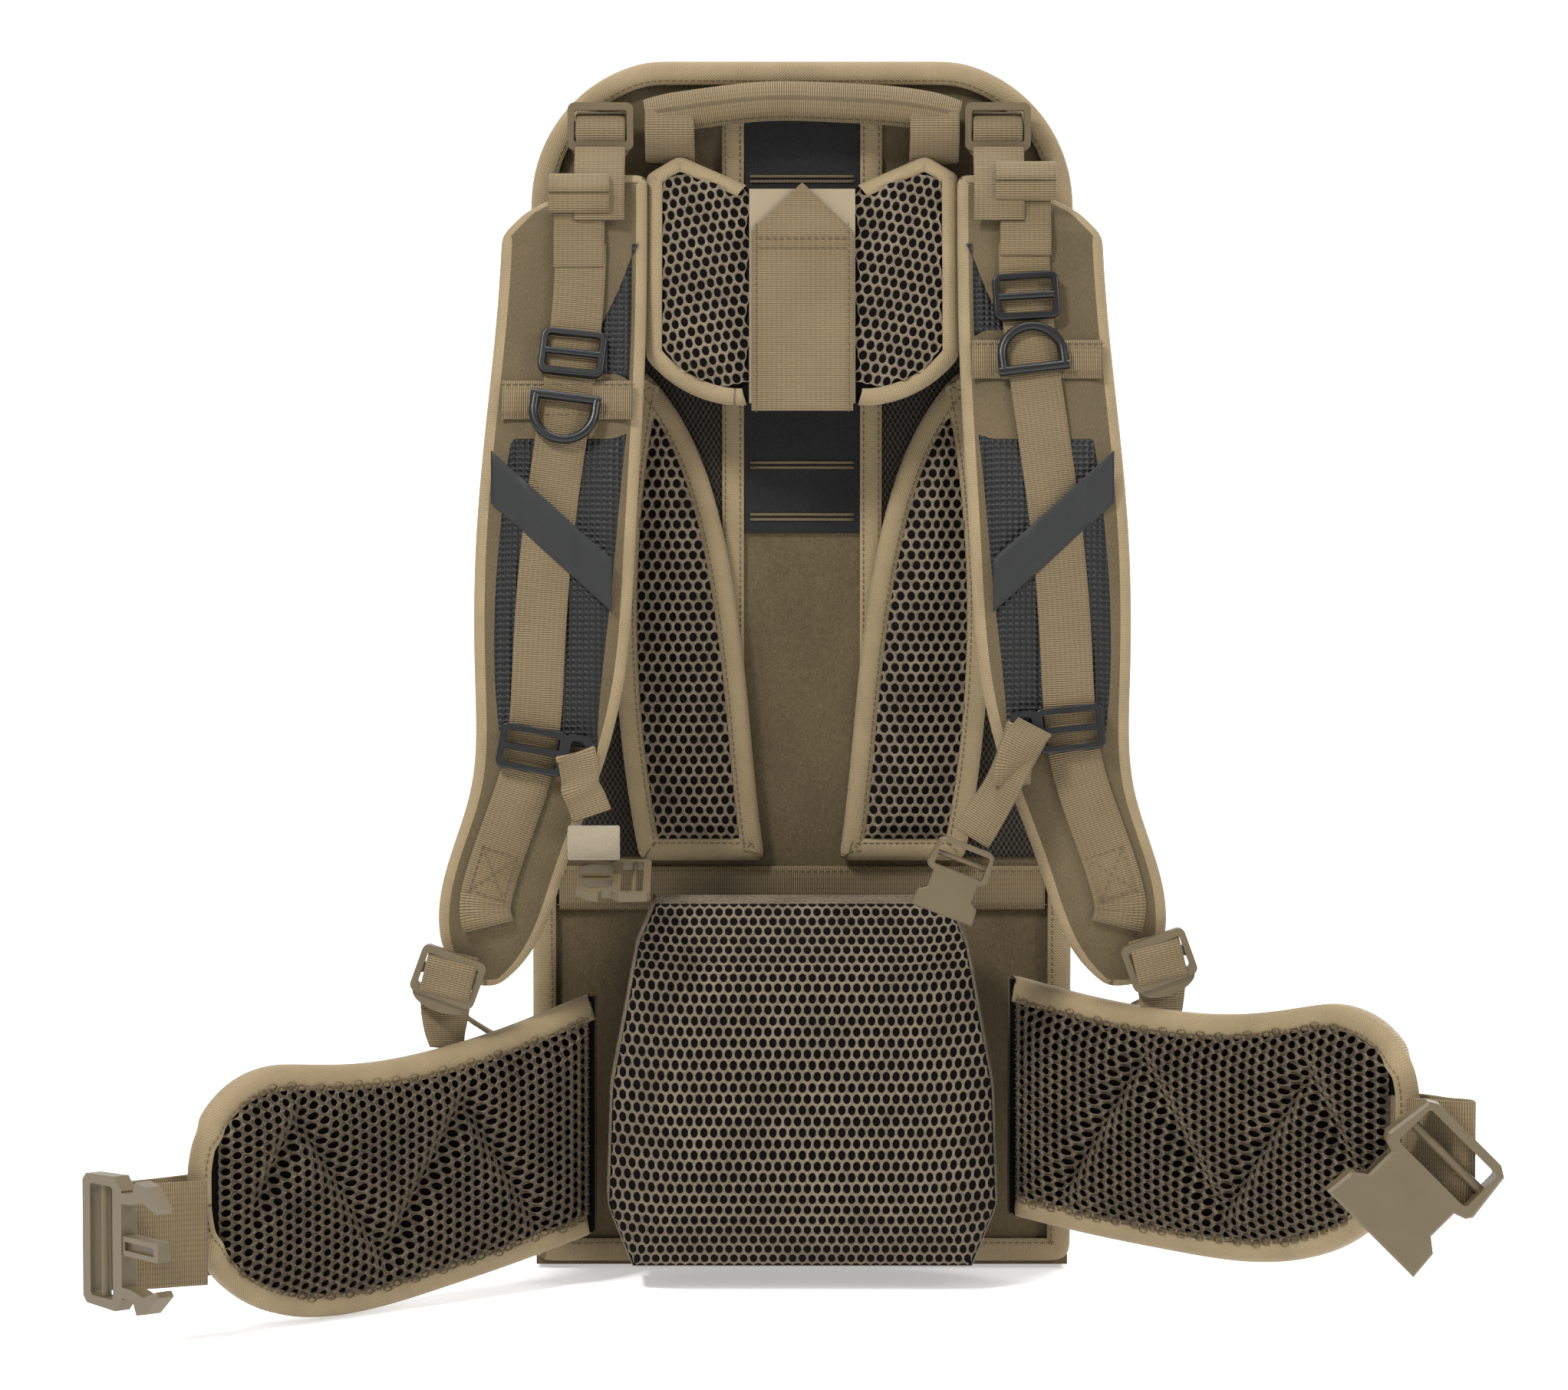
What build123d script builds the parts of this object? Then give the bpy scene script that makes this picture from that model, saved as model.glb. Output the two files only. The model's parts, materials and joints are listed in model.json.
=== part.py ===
from build123d import *
import os
from math import cos, radians, sin, tan

# A framed hunting pack that stands on its base. The harness faces -Y, the zipped
# front panel faces +Y, +X is to the right of someone who looks at the harness.
# The origin is the middle of the underside of the base. Sizes are millimetres.

# Pack body
pack_width = 268
pack_height = 604
bag_depth = 150
corner_radius = 71
cloth = 2.5
base_thickness = 2
rim_width = 12
sill_height = 30
joint_gap = 0.5
binding_width = 10
binding_thickness = 3

# Frame inside the bag
sheet_width = 216
sheet_height = 540
sheet_thickness = 1.6
sheet_corner = 60
frame_lift = 18
stay_width = 22
stay_thickness = 3
stay_length = 500
stay_spacing = 124
sleeve_width = 190
sleeve_height = 400
sleeve_depth = 24
sleeve_wall = 1.2

# Front panel, its pocket and the zip
panel_thickness = 2.5
pocket_width = 200
pocket_height = 330
pocket_depth = 25
pocket_wall = 1.5
pocket_lift = 70
pocket_corner = 18
zip_width = 10
zip_thickness = 1.6
zip_inset = 16
pull_height = 420
pull_size = (5, 8, 12)
pull_tab = (2, 6, 28)

# Compression straps on the sides of the bag
compression_heights = (190, 430)
compression_width = 20
compression_length = 96
webbing = 1.5

# Torso ladder, mesh panels and back pads
ladder_width = 58
ladder_low = 369
ladder_high = pack_height - 10
ladder_thickness = 1.5
strip_width = 11
strip_thickness = 2
panel_low = 206
mesh_high = 472
mesh_thickness = 3
pad_thickness = 20
pad_top = 450
waist_webbing_width = 22
waist_webbing_half = 122

# Lumbar pad
lumbar_half_low = 95
lumbar_half_high = 72
lumbar_low = 10
lumbar_high = 189
lumbar_reach = 88
lumbar_round = 12

# Yoke and its tab
yoke_half = 76
yoke_thickness = 12
yoke_inner = 26.5
tab_width = 50
tab_low = 430
tab_high = 543
tab_shoulder = 519
tab_thickness = 3

# Haul handle
handle_radius = 9.5
handle_height = 581
handle_reach = 14
handle_hinge_height = 558
handle_hinge_reach = 3
handle_end_width = 20
handle_end_thickness = 4

# Shoulder straps
hinge_height = 548
hinge_reach = 22
strap_thickness = 12
strap_webbing_width = 25
cloth_overlay = 0.8
webbing_stand_off = 1
cross_width = 20
grid_top = 420
label_width = 26
label_top = 398
label_low = 342

# Belt
wing_thickness = 16
wing_root = 102
wing_root_reach = 36
wing_length = 184
wing_root_height = (84.5, 93)
wing_droop = (8, 0)
belt_width = 50
belt_strap_thickness = 2.4
male_place = (-320, 228, 50)
male_turn = 50
female_place = (283, 214, 73)
female_turn = 45

# Moulded hardware, each drawn for one width of webbing
small_webbing = 20
rail = 3.2
bar_radius = 1.8
fit_gap = 0.6

sternum_buckle = 28

# Where things sit on the left (-1) and right (1) strap: heights, then
# (X, distance in front of the harness plane, height) of the ladder locks
triglide_gap = 12
dring_height = {-1: 433, 1: 447}
triglide_height = {-1: 455, 1: dring_height[1] + triglide_gap + strap_webbing_width}
dring_width = 30
dring_length = 22
cross_height = {-1: 433, 1: 453}
slider_height = {-1: 266, 1: 276}
tail_height = {-1: 529, 1: 535}
lifter_place = {-1: (-100, 14, 571), 1: (97, 14, 571)}
lower_lock_place = {-1: (-172, 90, 156), 1: (173, 90, 164)}
lower_lock_lean = 20
lower_anchor = (122, 15, 104)

# Belt webbing: (X, distance in front of the harness plane) of its end, then its height
belt_end = {-1: (317, 206), 1: (303, 200)}
belt_low = {-1: 24, 1: 62}

handle_half = lifter_place[1][0] - 0.8 * strap_webbing_width
clear_of_webbing = webbing_stand_off + webbing + 1
clear_of_triglide = clear_of_webbing + 2.3
back = -bag_depth / 2
front = bag_depth / 2
half_width = pack_width / 2


def xz(points):
    """Points of the Y = 0 plane from pairs of X and Z."""
    return [(x, 0, z) for x, z in points]


def outline(points):
    """Straight-sided face in the Y = 0 plane."""
    return make_face(Polyline(*xz(points), close=True))


def arch(inset, low):
    """Upright face with two round top corners, moved inwards by inset."""
    half = half_width - inset
    top = pack_height - inset
    radius = corner_radius - inset
    shoulder = top - radius
    diagonal = radius * cos(radians(45))
    inner = half - radius
    edges = [
        Line((-half, 0, low), (half, 0, low)),
        Line((half, 0, low), (half, 0, shoulder)),
        ThreePointArc((half, 0, shoulder), (inner + diagonal, 0, shoulder + diagonal), (inner, 0, top)),
        Line((inner, 0, top), (-inner, 0, top)),
        ThreePointArc((-inner, 0, top), (-inner - diagonal, 0, shoulder + diagonal), (-half, 0, shoulder)),
        Line((-half, 0, shoulder), (-half, 0, low)),
    ]
    return make_face(edges)


def slab(face, low, high):
    """Push a face of the Y = 0 plane through from Y = low to Y = high."""
    return extrude(face.moved(Location((0, low, 0))), amount=high - low, dir=(0, 1, 0))


def block(x_low, x_high, y_low, y_high, z_low, z_high):
    """Box between two corners."""
    box = Box(x_high - x_low, y_high - y_low, z_high - z_low, align=(Align.MIN, Align.MIN, Align.MIN))
    return box.moved(Location((x_low, y_low, z_low)))


def mirrored(shape):
    """The same shape on the other side of the pack."""
    return mirror(shape, about=Plane.YZ)


def sided(shape, side):
    """Keep a right-hand shape for side 1 and mirror it for side -1."""
    return shape if side > 0 else mirrored(shape)


def reach_line(stations):
    """Curve in the X = 0 plane through pairs of height and reach from the back panel."""
    return Spline(*[(0, back - reach, height) for height, reach in stations])


def side_band(line, low, high, steps=14):
    """Face between two offsets of a curve that runs down in the X = 0 plane."""
    places = [(line @ (i / steps), (line % (i / steps)).cross(Vector(1, 0, 0))) for i in range(steps + 1)]
    near = [place + away * low for place, away in places]
    far = [place + away * high for place, away in places]
    edges = [Spline(*near), Line(near[-1], far[-1]), Spline(*far), Line(far[0], near[0])]
    return make_face(edges)


def layer(line, face, low, high):
    """The part of a bent layer, low to high off its curve, that lies within a face."""
    reach = 4 * half_width
    start = side_band(line, low, high).moved(Location((-reach, 0, 0)))
    band = extrude(start, amount=2 * reach, dir=(1, 0, 0))
    return band & slab(face, -pack_height, pack_height)


def at_height(line, height):
    """Where along a curve that runs down it passes a height."""
    low, high = 0.0, 1.0
    for _ in range(40):
        middle = (low + high) / 2
        if (line @ middle).Z > height:
            low = middle
        else:
            high = middle
    return (low + high) / 2


# Centre lines. Straps and yoke: height and reach from the back panel, from the top down.
strap_side_line = reach_line([
    (552, 21), (520, 27), (470, 38), (430, 52), (391, 64), (350, 72),
    (310, 77), (263, 80), (220, 80), (184, 78), (146, 71),
])
strap_face_line = Spline(*xz([
    (112, 552), (111, 470), (121, 391), (128, 310), (132, 262), (146, 220), (158, 170),
]))
yoke_side_line = reach_line([(562, 11), (500, 24), (426, 35)])


def strap_place(side, height, off):
    """Frame on the outside of a strap: X across, Y up along it, Z out of it."""
    side_at = at_height(strap_side_line, height)
    face_at = at_height(strap_face_line, height)
    down = strap_side_line % side_at
    away = down.cross(Vector(1, 0, 0))
    slope = strap_face_line % face_at
    up = Vector(-side * slope.X, -down.Y, -down.Z).normalized()
    spot = strap_side_line @ side_at + away * (strap_thickness / 2 + off)
    across = up.cross(away).normalized()
    middle = side * (strap_face_line @ face_at).X
    return Plane(origin=(middle, spot.Y, spot.Z), x_dir=across, z_dir=across.cross(up))


# ---- bag and frame ----
def make_bag_shell():
    body = slab(arch(0, base_thickness), back, front)
    body -= slab(arch(cloth, base_thickness + cloth), back + cloth, front - cloth)
    return body - slab(arch(rim_width, sill_height), front - 2 * cloth, front + cloth)


def make_frame_sheet(low, high):
    middle = frame_lift + sheet_height / 2
    plate = Plane(origin=(0, high, middle), x_dir=(1, 0, 0), z_dir=(0, -1, 0))
    return extrude(plate * RectangleRounded(sheet_width, sheet_height, sheet_corner), amount=high - low)


def make_stay(side, low):
    middle = side * stay_spacing / 2
    bottom = frame_lift + (sheet_height - stay_length) / 2
    bar = block(middle - stay_width / 2, middle + stay_width / 2, low, low + stay_thickness,
                bottom, bottom + stay_length)
    return fillet(bar.edges().filter_by(Axis.Y), stay_width / 2.2)


def make_sleeve(low):
    top = frame_lift + sheet_height - 10
    half = sleeve_width / 2
    outer = block(-half, half, low, low + sleeve_depth, top - sleeve_height, top)
    wall = sleeve_wall
    return outer - block(-half + wall, half - wall, low + wall, low + sleeve_depth - wall,
                         top - sleeve_height + wall, top + 1)


def make_edge_binding():
    low = base_thickness
    ring = slab(arch(0, low), back - binding_thickness, back)
    return ring - slab(arch(binding_width, low + binding_width), back - 2 * binding_thickness, back + 1)


def make_zip_track():
    low = front - zip_inset - zip_width
    ring = slab(arch(-zip_thickness, sill_height), low, low + zip_width)
    return ring - slab(arch(0, sill_height - 1), low - 1, low + zip_width + 1)


def make_zip_pull(side):
    x_low = half_width + zip_thickness + joint_gap
    middle = front - zip_inset - zip_width / 2
    wide, deep, tall = pull_size
    slider = block(x_low, x_low + wide, middle - deep / 2, middle + deep / 2, pull_height, pull_height + tall)
    slider = fillet(slider.edges().filter_by(Axis.X), 1.5)
    thick, broad, long = pull_tab
    tab = block(x_low + wide - thick, x_low + wide, middle - broad / 2, middle + broad / 2,
                pull_height - long, pull_height + 2)
    tab = fillet(tab.edges().filter_by(Axis.X), 2)
    return sided(slider + tab, side)


def make_compression():
    straps = []
    locks = []
    y_low = back + 8
    for side in (-1, 1):
        for height in compression_heights:
            z_low = height - compression_width / 2
            x_low = half_width
            strap = block(x_low, x_low + webbing, y_low, y_low + compression_length,
                          z_low, z_low + compression_width)
            straps.append(sided(strap, side))
            lock_x = side * (half_width + webbing + rail)
            spot = Plane(origin=(lock_x, y_low + compression_length / 2, height),
                         x_dir=(0, 0, 1), z_dir=(side, 0, 0))
            locks.append(spot * make_ladder_lock(compression_width))
    return Compound(straps), Compound(locks)


def make_front_panel():
    low = front + joint_gap
    return slab(arch(0, sill_height), low, low + panel_thickness)


def make_front_pocket():
    low = front + joint_gap + panel_thickness
    bottom = sill_height + pocket_lift
    half = pocket_width / 2
    body = block(-half, half, low, low + pocket_depth, bottom, bottom + pocket_height)
    body = fillet(body.edges().filter_by(Axis.Y), pocket_corner)
    body = fillet(body.faces().sort_by(Axis.Y)[-1].edges(), pocket_depth / 3)
    wall = pocket_wall
    inside = block(-half + wall, half - wall, low + wall, low + pocket_depth - wall,
                   bottom + wall, bottom + pocket_height - wall)
    inside = fillet(inside.edges().filter_by(Axis.Y), pocket_corner)
    return body - fillet(inside.faces().sort_by(Axis.Y)[-1].edges(), pocket_depth / 3)


# ---- back of the pack ----
def make_ladder():
    half = ladder_width / 2
    return block(-half, half, back - ladder_thickness, back, ladder_low, ladder_high)


def make_ladder_strips():
    half = ladder_width / 2
    strip = block(half, half + strip_width, back - strip_thickness, back, panel_low, ladder_high)
    return Compound([strip, mirrored(strip)])


def make_side_mesh(side):
    inner = ladder_width / 2 + strip_width
    outer = half_width - binding_width
    return sided(block(inner, outer, back - mesh_thickness, back, panel_low, mesh_high), side)


def make_back_pad(side):
    low = panel_low
    inner = Spline(*xz([(20, low), (29, 291), (40, 366), (58, 420), (80, pad_top)]))
    outer = ThreePointArc(*xz([(80, pad_top), (92, (pad_top + low) / 2 + 20), (80, low)]))
    face = make_face([inner, outer, Line(*xz([(80, low), (20, low)]))])
    rear = back - mesh_thickness
    return sided(slab(face, rear - pad_thickness, rear), side)


def make_waist_webbing():
    high = panel_low - 4
    half = waist_webbing_half
    return block(-half, half, back - webbing, back, high - waist_webbing_width, high)


def make_lumbar_pad():
    rear = back - binding_thickness - 0.5
    tip = back - lumbar_reach
    low, high = lumbar_low, lumbar_high
    profile = [(rear, low), (rear, high), (rear - 18, high), (tip + 14, high - 34), (tip, high - 70),
               (tip, low + 30), (tip + 14, low)]
    side_face = make_face(Polyline(*[(0, y, z) for y, z in profile], close=True))
    start = side_face.moved(Location((-lumbar_half_low, 0, 0)))
    body = extrude(start, amount=2 * lumbar_half_low, dir=(1, 0, 0))
    wide, narrow = lumbar_half_low, lumbar_half_high
    right = [(wide - 12, low), (wide, low + 30), (wide - 2, high - 90), (narrow + 8, high - 20),
             (narrow, high)]
    face = outline(right + [(-x, z) for x, z in reversed(right)])
    return body & slab(face, tip - 1, rear + 1)


# ---- yoke ----
def make_yoke(side):
    lower = ThreePointArc(*xz([(yoke_half, 457), (55, 440), (yoke_inner, 434)]))
    corners = [(yoke_inner, 434), (yoke_inner, 540), (61, 555), (yoke_half, 546), (yoke_half, 457)]
    rest = Polyline(*xz(corners))
    face = make_face([lower] + rest.edges())
    return sided(layer(yoke_side_line, face, -yoke_thickness / 2, yoke_thickness / 2), side)


def make_yoke_panel():
    half = yoke_inner - 0.3
    face = outline([(-half, 434), (half, 434), (half, 540), (-half, 540)])
    return layer(yoke_side_line, face, -2, yoke_thickness / 2 - tab_thickness / 2)


def make_tab():
    half = tab_width / 2
    low = yoke_thickness / 2 - tab_thickness / 2 + joint_gap
    right = [(half, tab_low), (half, tab_shoulder), (0, tab_high)]
    face = outline(right + [(-half, tab_shoulder), (-half, tab_low)])
    return layer(yoke_side_line, face, low, low + tab_thickness)


# ---- haul handle ----
def make_handle():
    end = handle_half
    middle_y = back - handle_reach
    low = handle_height - 5
    path = ThreePointArc((-end, middle_y, low), (0, middle_y, handle_height + 3), (end, middle_y, low))
    start = Plane(origin=path @ 0, z_dir=path % 0)
    grip = sweep(start * Circle(handle_radius), path=path)
    x_high = end
    x_low = end - handle_end_width
    y_mid = back - handle_hinge_reach
    ear = block(x_low, x_high, y_mid - handle_end_thickness / 2, y_mid + handle_end_thickness / 2,
                handle_hinge_height, handle_height - 5)
    neck = block(x_low, x_high, middle_y, y_mid, handle_height - 12, handle_height - 5)
    return grip + (ear + neck) + mirrored(ear + neck)


# ---- shoulder straps ----
def strap_face():
    """Outline of a right-hand strap from the front."""
    inner = Spline(*xz([
        (78, 546), (79, 444), (83, 361), (89, 294), (99, 256), (116, 210), (133, 168), (151, 150),
    ]))
    outer = Spline(*xz([
        (164, 152), (175, 172), (175, 195), (160, 246), (158, 300), (158, 361), (150, 466), (147, 516),
    ]))
    tip = Line(inner @ 1, outer @ 0)
    top = Polyline(outer @ 1, (136, 0, 527), (100, 0, 545), inner @ 0)
    return make_face([inner, tip, outer] + top.edges())


def strap_strip(width, high, low):
    """Outline of webbing that follows the middle of a right-hand strap."""
    steps = 8
    first = at_height(strap_face_line, high)
    last = at_height(strap_face_line, low)
    left = []
    right = []
    for i in range(steps + 1):
        at = first + (last - first) * i / steps
        spot = strap_face_line @ at
        out = (strap_face_line % at).cross(Vector(0, 1, 0)) * (width / 2)
        left.append(spot + out)
        right.append(spot - out)
    edges = [Spline(*left), Line(left[-1], right[-1]), Spline(*right), Line(right[0], left[0])]
    return make_face(edges)


def make_strap_pad(side):
    half = strap_thickness / 2
    return sided(layer(strap_side_line, strap_face(), -half, half), side)


def make_strap_webbing(side):
    low = strap_thickness / 2 + webbing_stand_off
    return sided(layer(strap_side_line, strap_strip(strap_webbing_width, 512, 180), low, low + webbing), side)


def make_grid_panel(side):
    low = strap_thickness / 2
    low_line = 262
    inner = Spline(*xz([(84, grid_top), (88, 361), (93, 305), (100, low_line)]))
    outer = Spline(*xz([(150, low_line), (153, 310), (152, 361), (146, grid_top)]))
    face = make_face([inner, Line(inner @ 1, outer @ 0), outer, Line(outer @ 1, inner @ 0)])
    return sided(layer(strap_side_line, face, low, low + cloth_overlay), side)


def make_cross_webbing(side, height):
    low = strap_thickness / 2
    half = cross_width / 2
    face = outline([(81, height - half), (149, height - half), (149, height + half), (81, height + half)])
    return sided(layer(strap_side_line, face, low, low + cloth_overlay), side)


def make_label(side):
    low = strap_thickness / 2 + webbing_stand_off + webbing
    half = label_width / 2
    face = outline([(90, label_low - half), (154, label_top - half),
                    (154, label_top + half), (90, label_low + half)])
    return sided(layer(strap_side_line, face, low, low + cloth_overlay), side)


def make_lifter_tail(side, height):
    """Rolled-up spare webbing in its keeper, on the top of a strap."""
    place = strap_place(side, height, webbing_stand_off + 2 * webbing + 2)
    roll = RectangleRounded(13, 26, 6)
    return Plane(origin=place.origin + place.x_dir * 16, x_dir=place.z_dir, z_dir=-place.x_dir) * extrude(
        roll.moved(Location((6.5, 0, 0))), amount=32)


# ---- moulded hardware: X across the webbing, Y along it, Z out of it ----
def make_ladder_lock(width):
    wide = width + 2 * rail + 2 * fit_gap
    long = width * 0.95
    thick = rail
    slot_width = width + 2 * fit_gap
    body = extrude(RectangleRounded(wide, long, 3.5), amount=thick, both=True)
    lip = Plane(origin=(0, -long / 2 + 1, 0)) * Ellipse(wide / 2 - 2, 7)
    body += extrude(lip, amount=thick * 0.6, both=True)
    for middle in (-long * 0.2, long * 0.22):
        slot = Plane(origin=(0, middle, 0)) * RectangleRounded(slot_width, long * 0.24, 1.2)
        body -= extrude(slot, amount=3 * thick, both=True)
    scoop = Box(slot_width, long * 0.5, thick).moved(Location((0, 0, thick * 1.05)))
    return body - scoop


def make_triglide(width):
    wide = width + 2 * rail + 2 * fit_gap
    long = width * 0.95
    body = extrude(RectangleRounded(wide, long, 4.5), amount=rail)
    body = fillet(body.faces().sort_by(Axis.Z)[-1].edges(), 1.2)
    opening = RectangleRounded(width + 2 * fit_gap, long - 2 * rail, 2)
    body -= extrude(opening, amount=3 * rail, both=True)
    bar = Cylinder(bar_radius, width + 4 * fit_gap).rotate(Axis.Y, 90).moved(Location((0, 0, bar_radius)))
    return body + bar


def make_dring(width, drop):
    """D-shaped ring: the bar lies on local X at the origin and the bow hangs towards -Y."""
    half = width / 2
    bow = ThreePointArc((half, -drop * 0.35, 0), (0, -drop, 0), (-half, -drop * 0.35, 0))
    legs = [Line((half, 0, 0), (half, -drop * 0.35, 0)), bow, Line((-half, -drop * 0.35, 0), (-half, 0, 0))]
    ring = sweep(Plane(origin=(half, 0, 0), z_dir=(0, -1, 0)) * Circle(2.3), path=Wire(legs))
    bar = Cylinder(2.3, width + 4.6).rotate(Axis.Y, 90)
    return ring + bar


def make_sternum_slider(width, side):
    """Slider with open hooks for the strap webbing and a ring on its inner side."""
    wide = width + 2 * rail + 2 * fit_gap
    long = width * 0.88
    body = extrude(RectangleRounded(wide, long, 3), amount=rail)
    body = fillet(body.faces().sort_by(Axis.Z)[-1].edges(), 1)
    opening = RectangleRounded(width + 2 * fit_gap, long - 2 * rail, 1.5)
    body -= extrude(opening, amount=3 * rail, both=True)
    body += Box(width + 4 * fit_gap, rail, rail, align=(Align.CENTER, Align.CENTER, Align.MIN))
    middle = -side * (wide / 2 + 5.5)
    ring = extrude(Plane(origin=(middle, 0, 0)) * RectangleRounded(14, long, 4), amount=rail)
    eye = Plane(origin=(middle, 0, 0)) * RectangleRounded(7, long - 2 * rail, 2)
    ring -= extrude(eye, amount=3 * rail, both=True)
    return body + ring


def make_female(width):
    """Socket half of a side-release buckle. The mouth faces -Y and the bar is near +Y."""
    k = width / 50
    thick = 14 * k
    points = [(-25, 31), (-20, 34), (20, 34), (25, 31), (28, 8), (26, 5), (20.5, 3), (20.5, -12),
              (27, -17), (28.3, -31),
              (-28.3, -31), (-27, -17), (-20.5, -12), (-20.5, 3), (-26, 5), (-28, 8)]
    face = make_face(Polyline(*[(x * k, y * k) for x, y in points], close=True))
    body = extrude(face, amount=thick / 2, both=True)
    body = chamfer(body.faces().sort_by(Axis.Z)[-1].edges(), 1.3 * k)
    body = chamfer(body.faces().sort_by(Axis.Z)[0].edges(), 1.3 * k)
    slot = Plane(origin=(0, 19 * k, 0)) * RectangleRounded(44 * k, 21 * k, 2 * k)
    body -= extrude(slot, amount=thick, both=True)
    socket = Box(50 * k, 34 * k, thick - 4.4 * k).moved(Location((0, -16 * k, 0)))
    return body - socket + make_webbing_bar(44.6 * k, 19 * k, 2.3 * k)


def make_webbing_bar(length, along, radius):
    return Cylinder(radius, length).rotate(Axis.Y, 90).moved(Location((0, along, 0)))


def make_male(width):
    """Tongue half of a side-release buckle. The prongs point to -Y and the bar is near +Y."""
    k = width / 50
    thick = 8 * k
    frame_points = [(-30, 30), (-27, 33), (27, 33), (30, 30), (31, 6), (25, 0), (-25, 0), (-31, 6)]
    face = make_face(Polyline(*[(x * k, y * k) for x, y in frame_points], close=True))
    body = extrude(face, amount=thick / 2, both=True)
    slot = Plane(origin=(0, 17 * k, 0)) * RectangleRounded(52 * k, 19 * k, 2 * k)
    body -= extrude(slot, amount=thick, both=True)
    body += make_webbing_bar(52.6 * k, 19 * k, 2.3 * k)
    prong_points = [(19, 3), (24, 3), (24.5, -9), (30.5, -12), (29, -20), (20, -31), (17.5, -29),
                    (21.5, -18), (19.5, -8)]
    side_face = make_face(Polyline(*[(x * k, y * k) for x, y in prong_points], close=True))
    prong = extrude(side_face, amount=thick / 2, both=True)
    tongue = Box(9 * k, 31 * k, 7 * k).moved(Location((0, -14 * k, 0)))
    tongue -= Box(4 * k, 24 * k, 3 * k).moved(Location((0, -14 * k, 3.2 * k)))
    tongue -= Box(4 * k, 24 * k, 3 * k).moved(Location((0, -14 * k, -3.2 * k)))
    return body + prong + mirror(prong, about=Plane.YZ) + tongue


# ---- belt ----
wing_points = [(0, 57), (30, 51), (60, 47), (85, 46), (110, 48), (135, 54), (152, 57), (168, 51), (180, 34),
               (184, 10), (181, -14), (170, -38), (150, -57), (115, -68), (80, -68), (40, -65), (0, -60)]


def wing_line():
    """Plan curve down the middle of a right-hand wing."""
    root = back - wing_root_reach
    return ThreePointArc((wing_root, root, 0), (wing_root + wing_length * 0.52, root - 80, 0),
                         (wing_root + wing_length, root - 160, 0))


def outward(line, at):
    """Direction square to a plan curve, on the side that the wearer touches."""
    return Vector(0, 0, 1).cross(line % at) * -1


def upright_band(line, low, high, start, stop, steps=10):
    """Tall band between two offsets of a plan curve."""
    spots = [start + (stop - start) * i / steps for i in range(steps + 1)]
    near = [(line @ at) + outward(line, at) * low for at in spots]
    far = [(line @ at) + outward(line, at) * high for at in spots]
    edges = [Spline(*near), Line(near[-1], far[-1]), Spline(*far), Line(far[0], near[0])]
    band = extrude(make_face(edges), amount=2 * pack_height, dir=(0, 0, 1))
    return band.moved(Location((0, 0, -pack_height)))


def make_wing(side):
    i = 0 if side < 0 else 1
    drop = tan(radians(wing_droop[i]))
    local = [(x, z - x * drop) for x, z in wing_points]
    face = make_face([Spline(*xz(local)), Line(*xz([local[-1], local[0]]))])
    cut = slab(face, -pack_height, 0).moved(Location((wing_root, 0, wing_root_height[i])))
    band = upright_band(wing_line(), -wing_thickness / 2, wing_thickness / 2, 0, 1)
    return sided(band & cut, side)


def make_belt_webbing(side):
    """Webbing on the outside of a wing, run on past the end of the wing to the buckle."""
    low = belt_low[side]
    high = low + belt_width
    end = belt_end[side]
    rear = -wing_thickness / 2 - belt_strap_thickness - fit_gap
    line = wing_line()
    places = [(line @ at) + outward(line, at) * rear for at in (0.3, 0.45, 0.6, 0.75, 0.9, 1)]
    places.append(Vector(end[0], back - end[1], 0))
    middle = Spline(*places)
    band = upright_band(middle, 0, belt_strap_thickness, 0, 1)
    face = outline([(0, low), (2 * pack_width, low), (2 * pack_width, high), (0, high)])
    return sided(band & slab(face, -pack_height, 0), side)


# ---- pieces that hang between the parts ----
def ribbon(start, end, across, width, thickness):
    """Flat straight webbing between two points, its width as near across as it can be."""
    run = Vector(*end) - Vector(*start)
    plane = Plane(origin=start, x_dir=Vector(*across), z_dir=run.normalized())
    return extrude(plane * Rectangle(width, thickness), amount=run.length)


def make_lifter_webbing(side):
    """Webbing from a load-lifter lock to the top of a strap."""
    middle = lifter_place[side][0]
    half = strap_webbing_width / 2
    over = strap_thickness / 2 + webbing_stand_off + webbing
    run = [(559, 21), (547, over + 22.5), (524, over + 26.5)]
    line = Spline(*[(0, back - reach, height) for height, reach in run])
    band = side_band(line, 0, webbing)
    return extrude(band.moved(Location((middle - half, 0, 0))), amount=2 * half, dir=(1, 0, 0))


def make_lower_webbing(side):
    """Webbing from the bottom corner of the pack to the lock at the end of a strap."""
    x, reach, height = lower_lock_place[side]
    start = (x - side * 4, back - reach + 32, height - 22)
    end = (side * lower_anchor[0], back - lower_anchor[1], lower_anchor[2])
    return ribbon(start, end, (1, 0, side * 0.6), strap_webbing_width, webbing)


def lock_plane(place, lean, tip):
    """Frame of a ladder lock: lean turns it in its own plane, tip tilts its top to the pack."""
    x, reach, height = place
    up = Vector(-sin(radians(lean)), sin(radians(tip)), cos(radians(lean)) * cos(radians(tip)))
    across = Vector(cos(radians(lean)), 0, sin(radians(lean)))
    return Plane(origin=(x, back - reach, height), x_dir=across, z_dir=across.cross(up))


def slider_ring(side):
    """Middle of the ring of a sternum slider."""
    middle = -side * (strap_webbing_width / 2 + rail + fit_gap + 5.5)
    place = places["slider_left" if side < 0 else "slider_right"]
    return place.from_local_coords(Vector(middle, 0, rail + 1.5))


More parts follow.
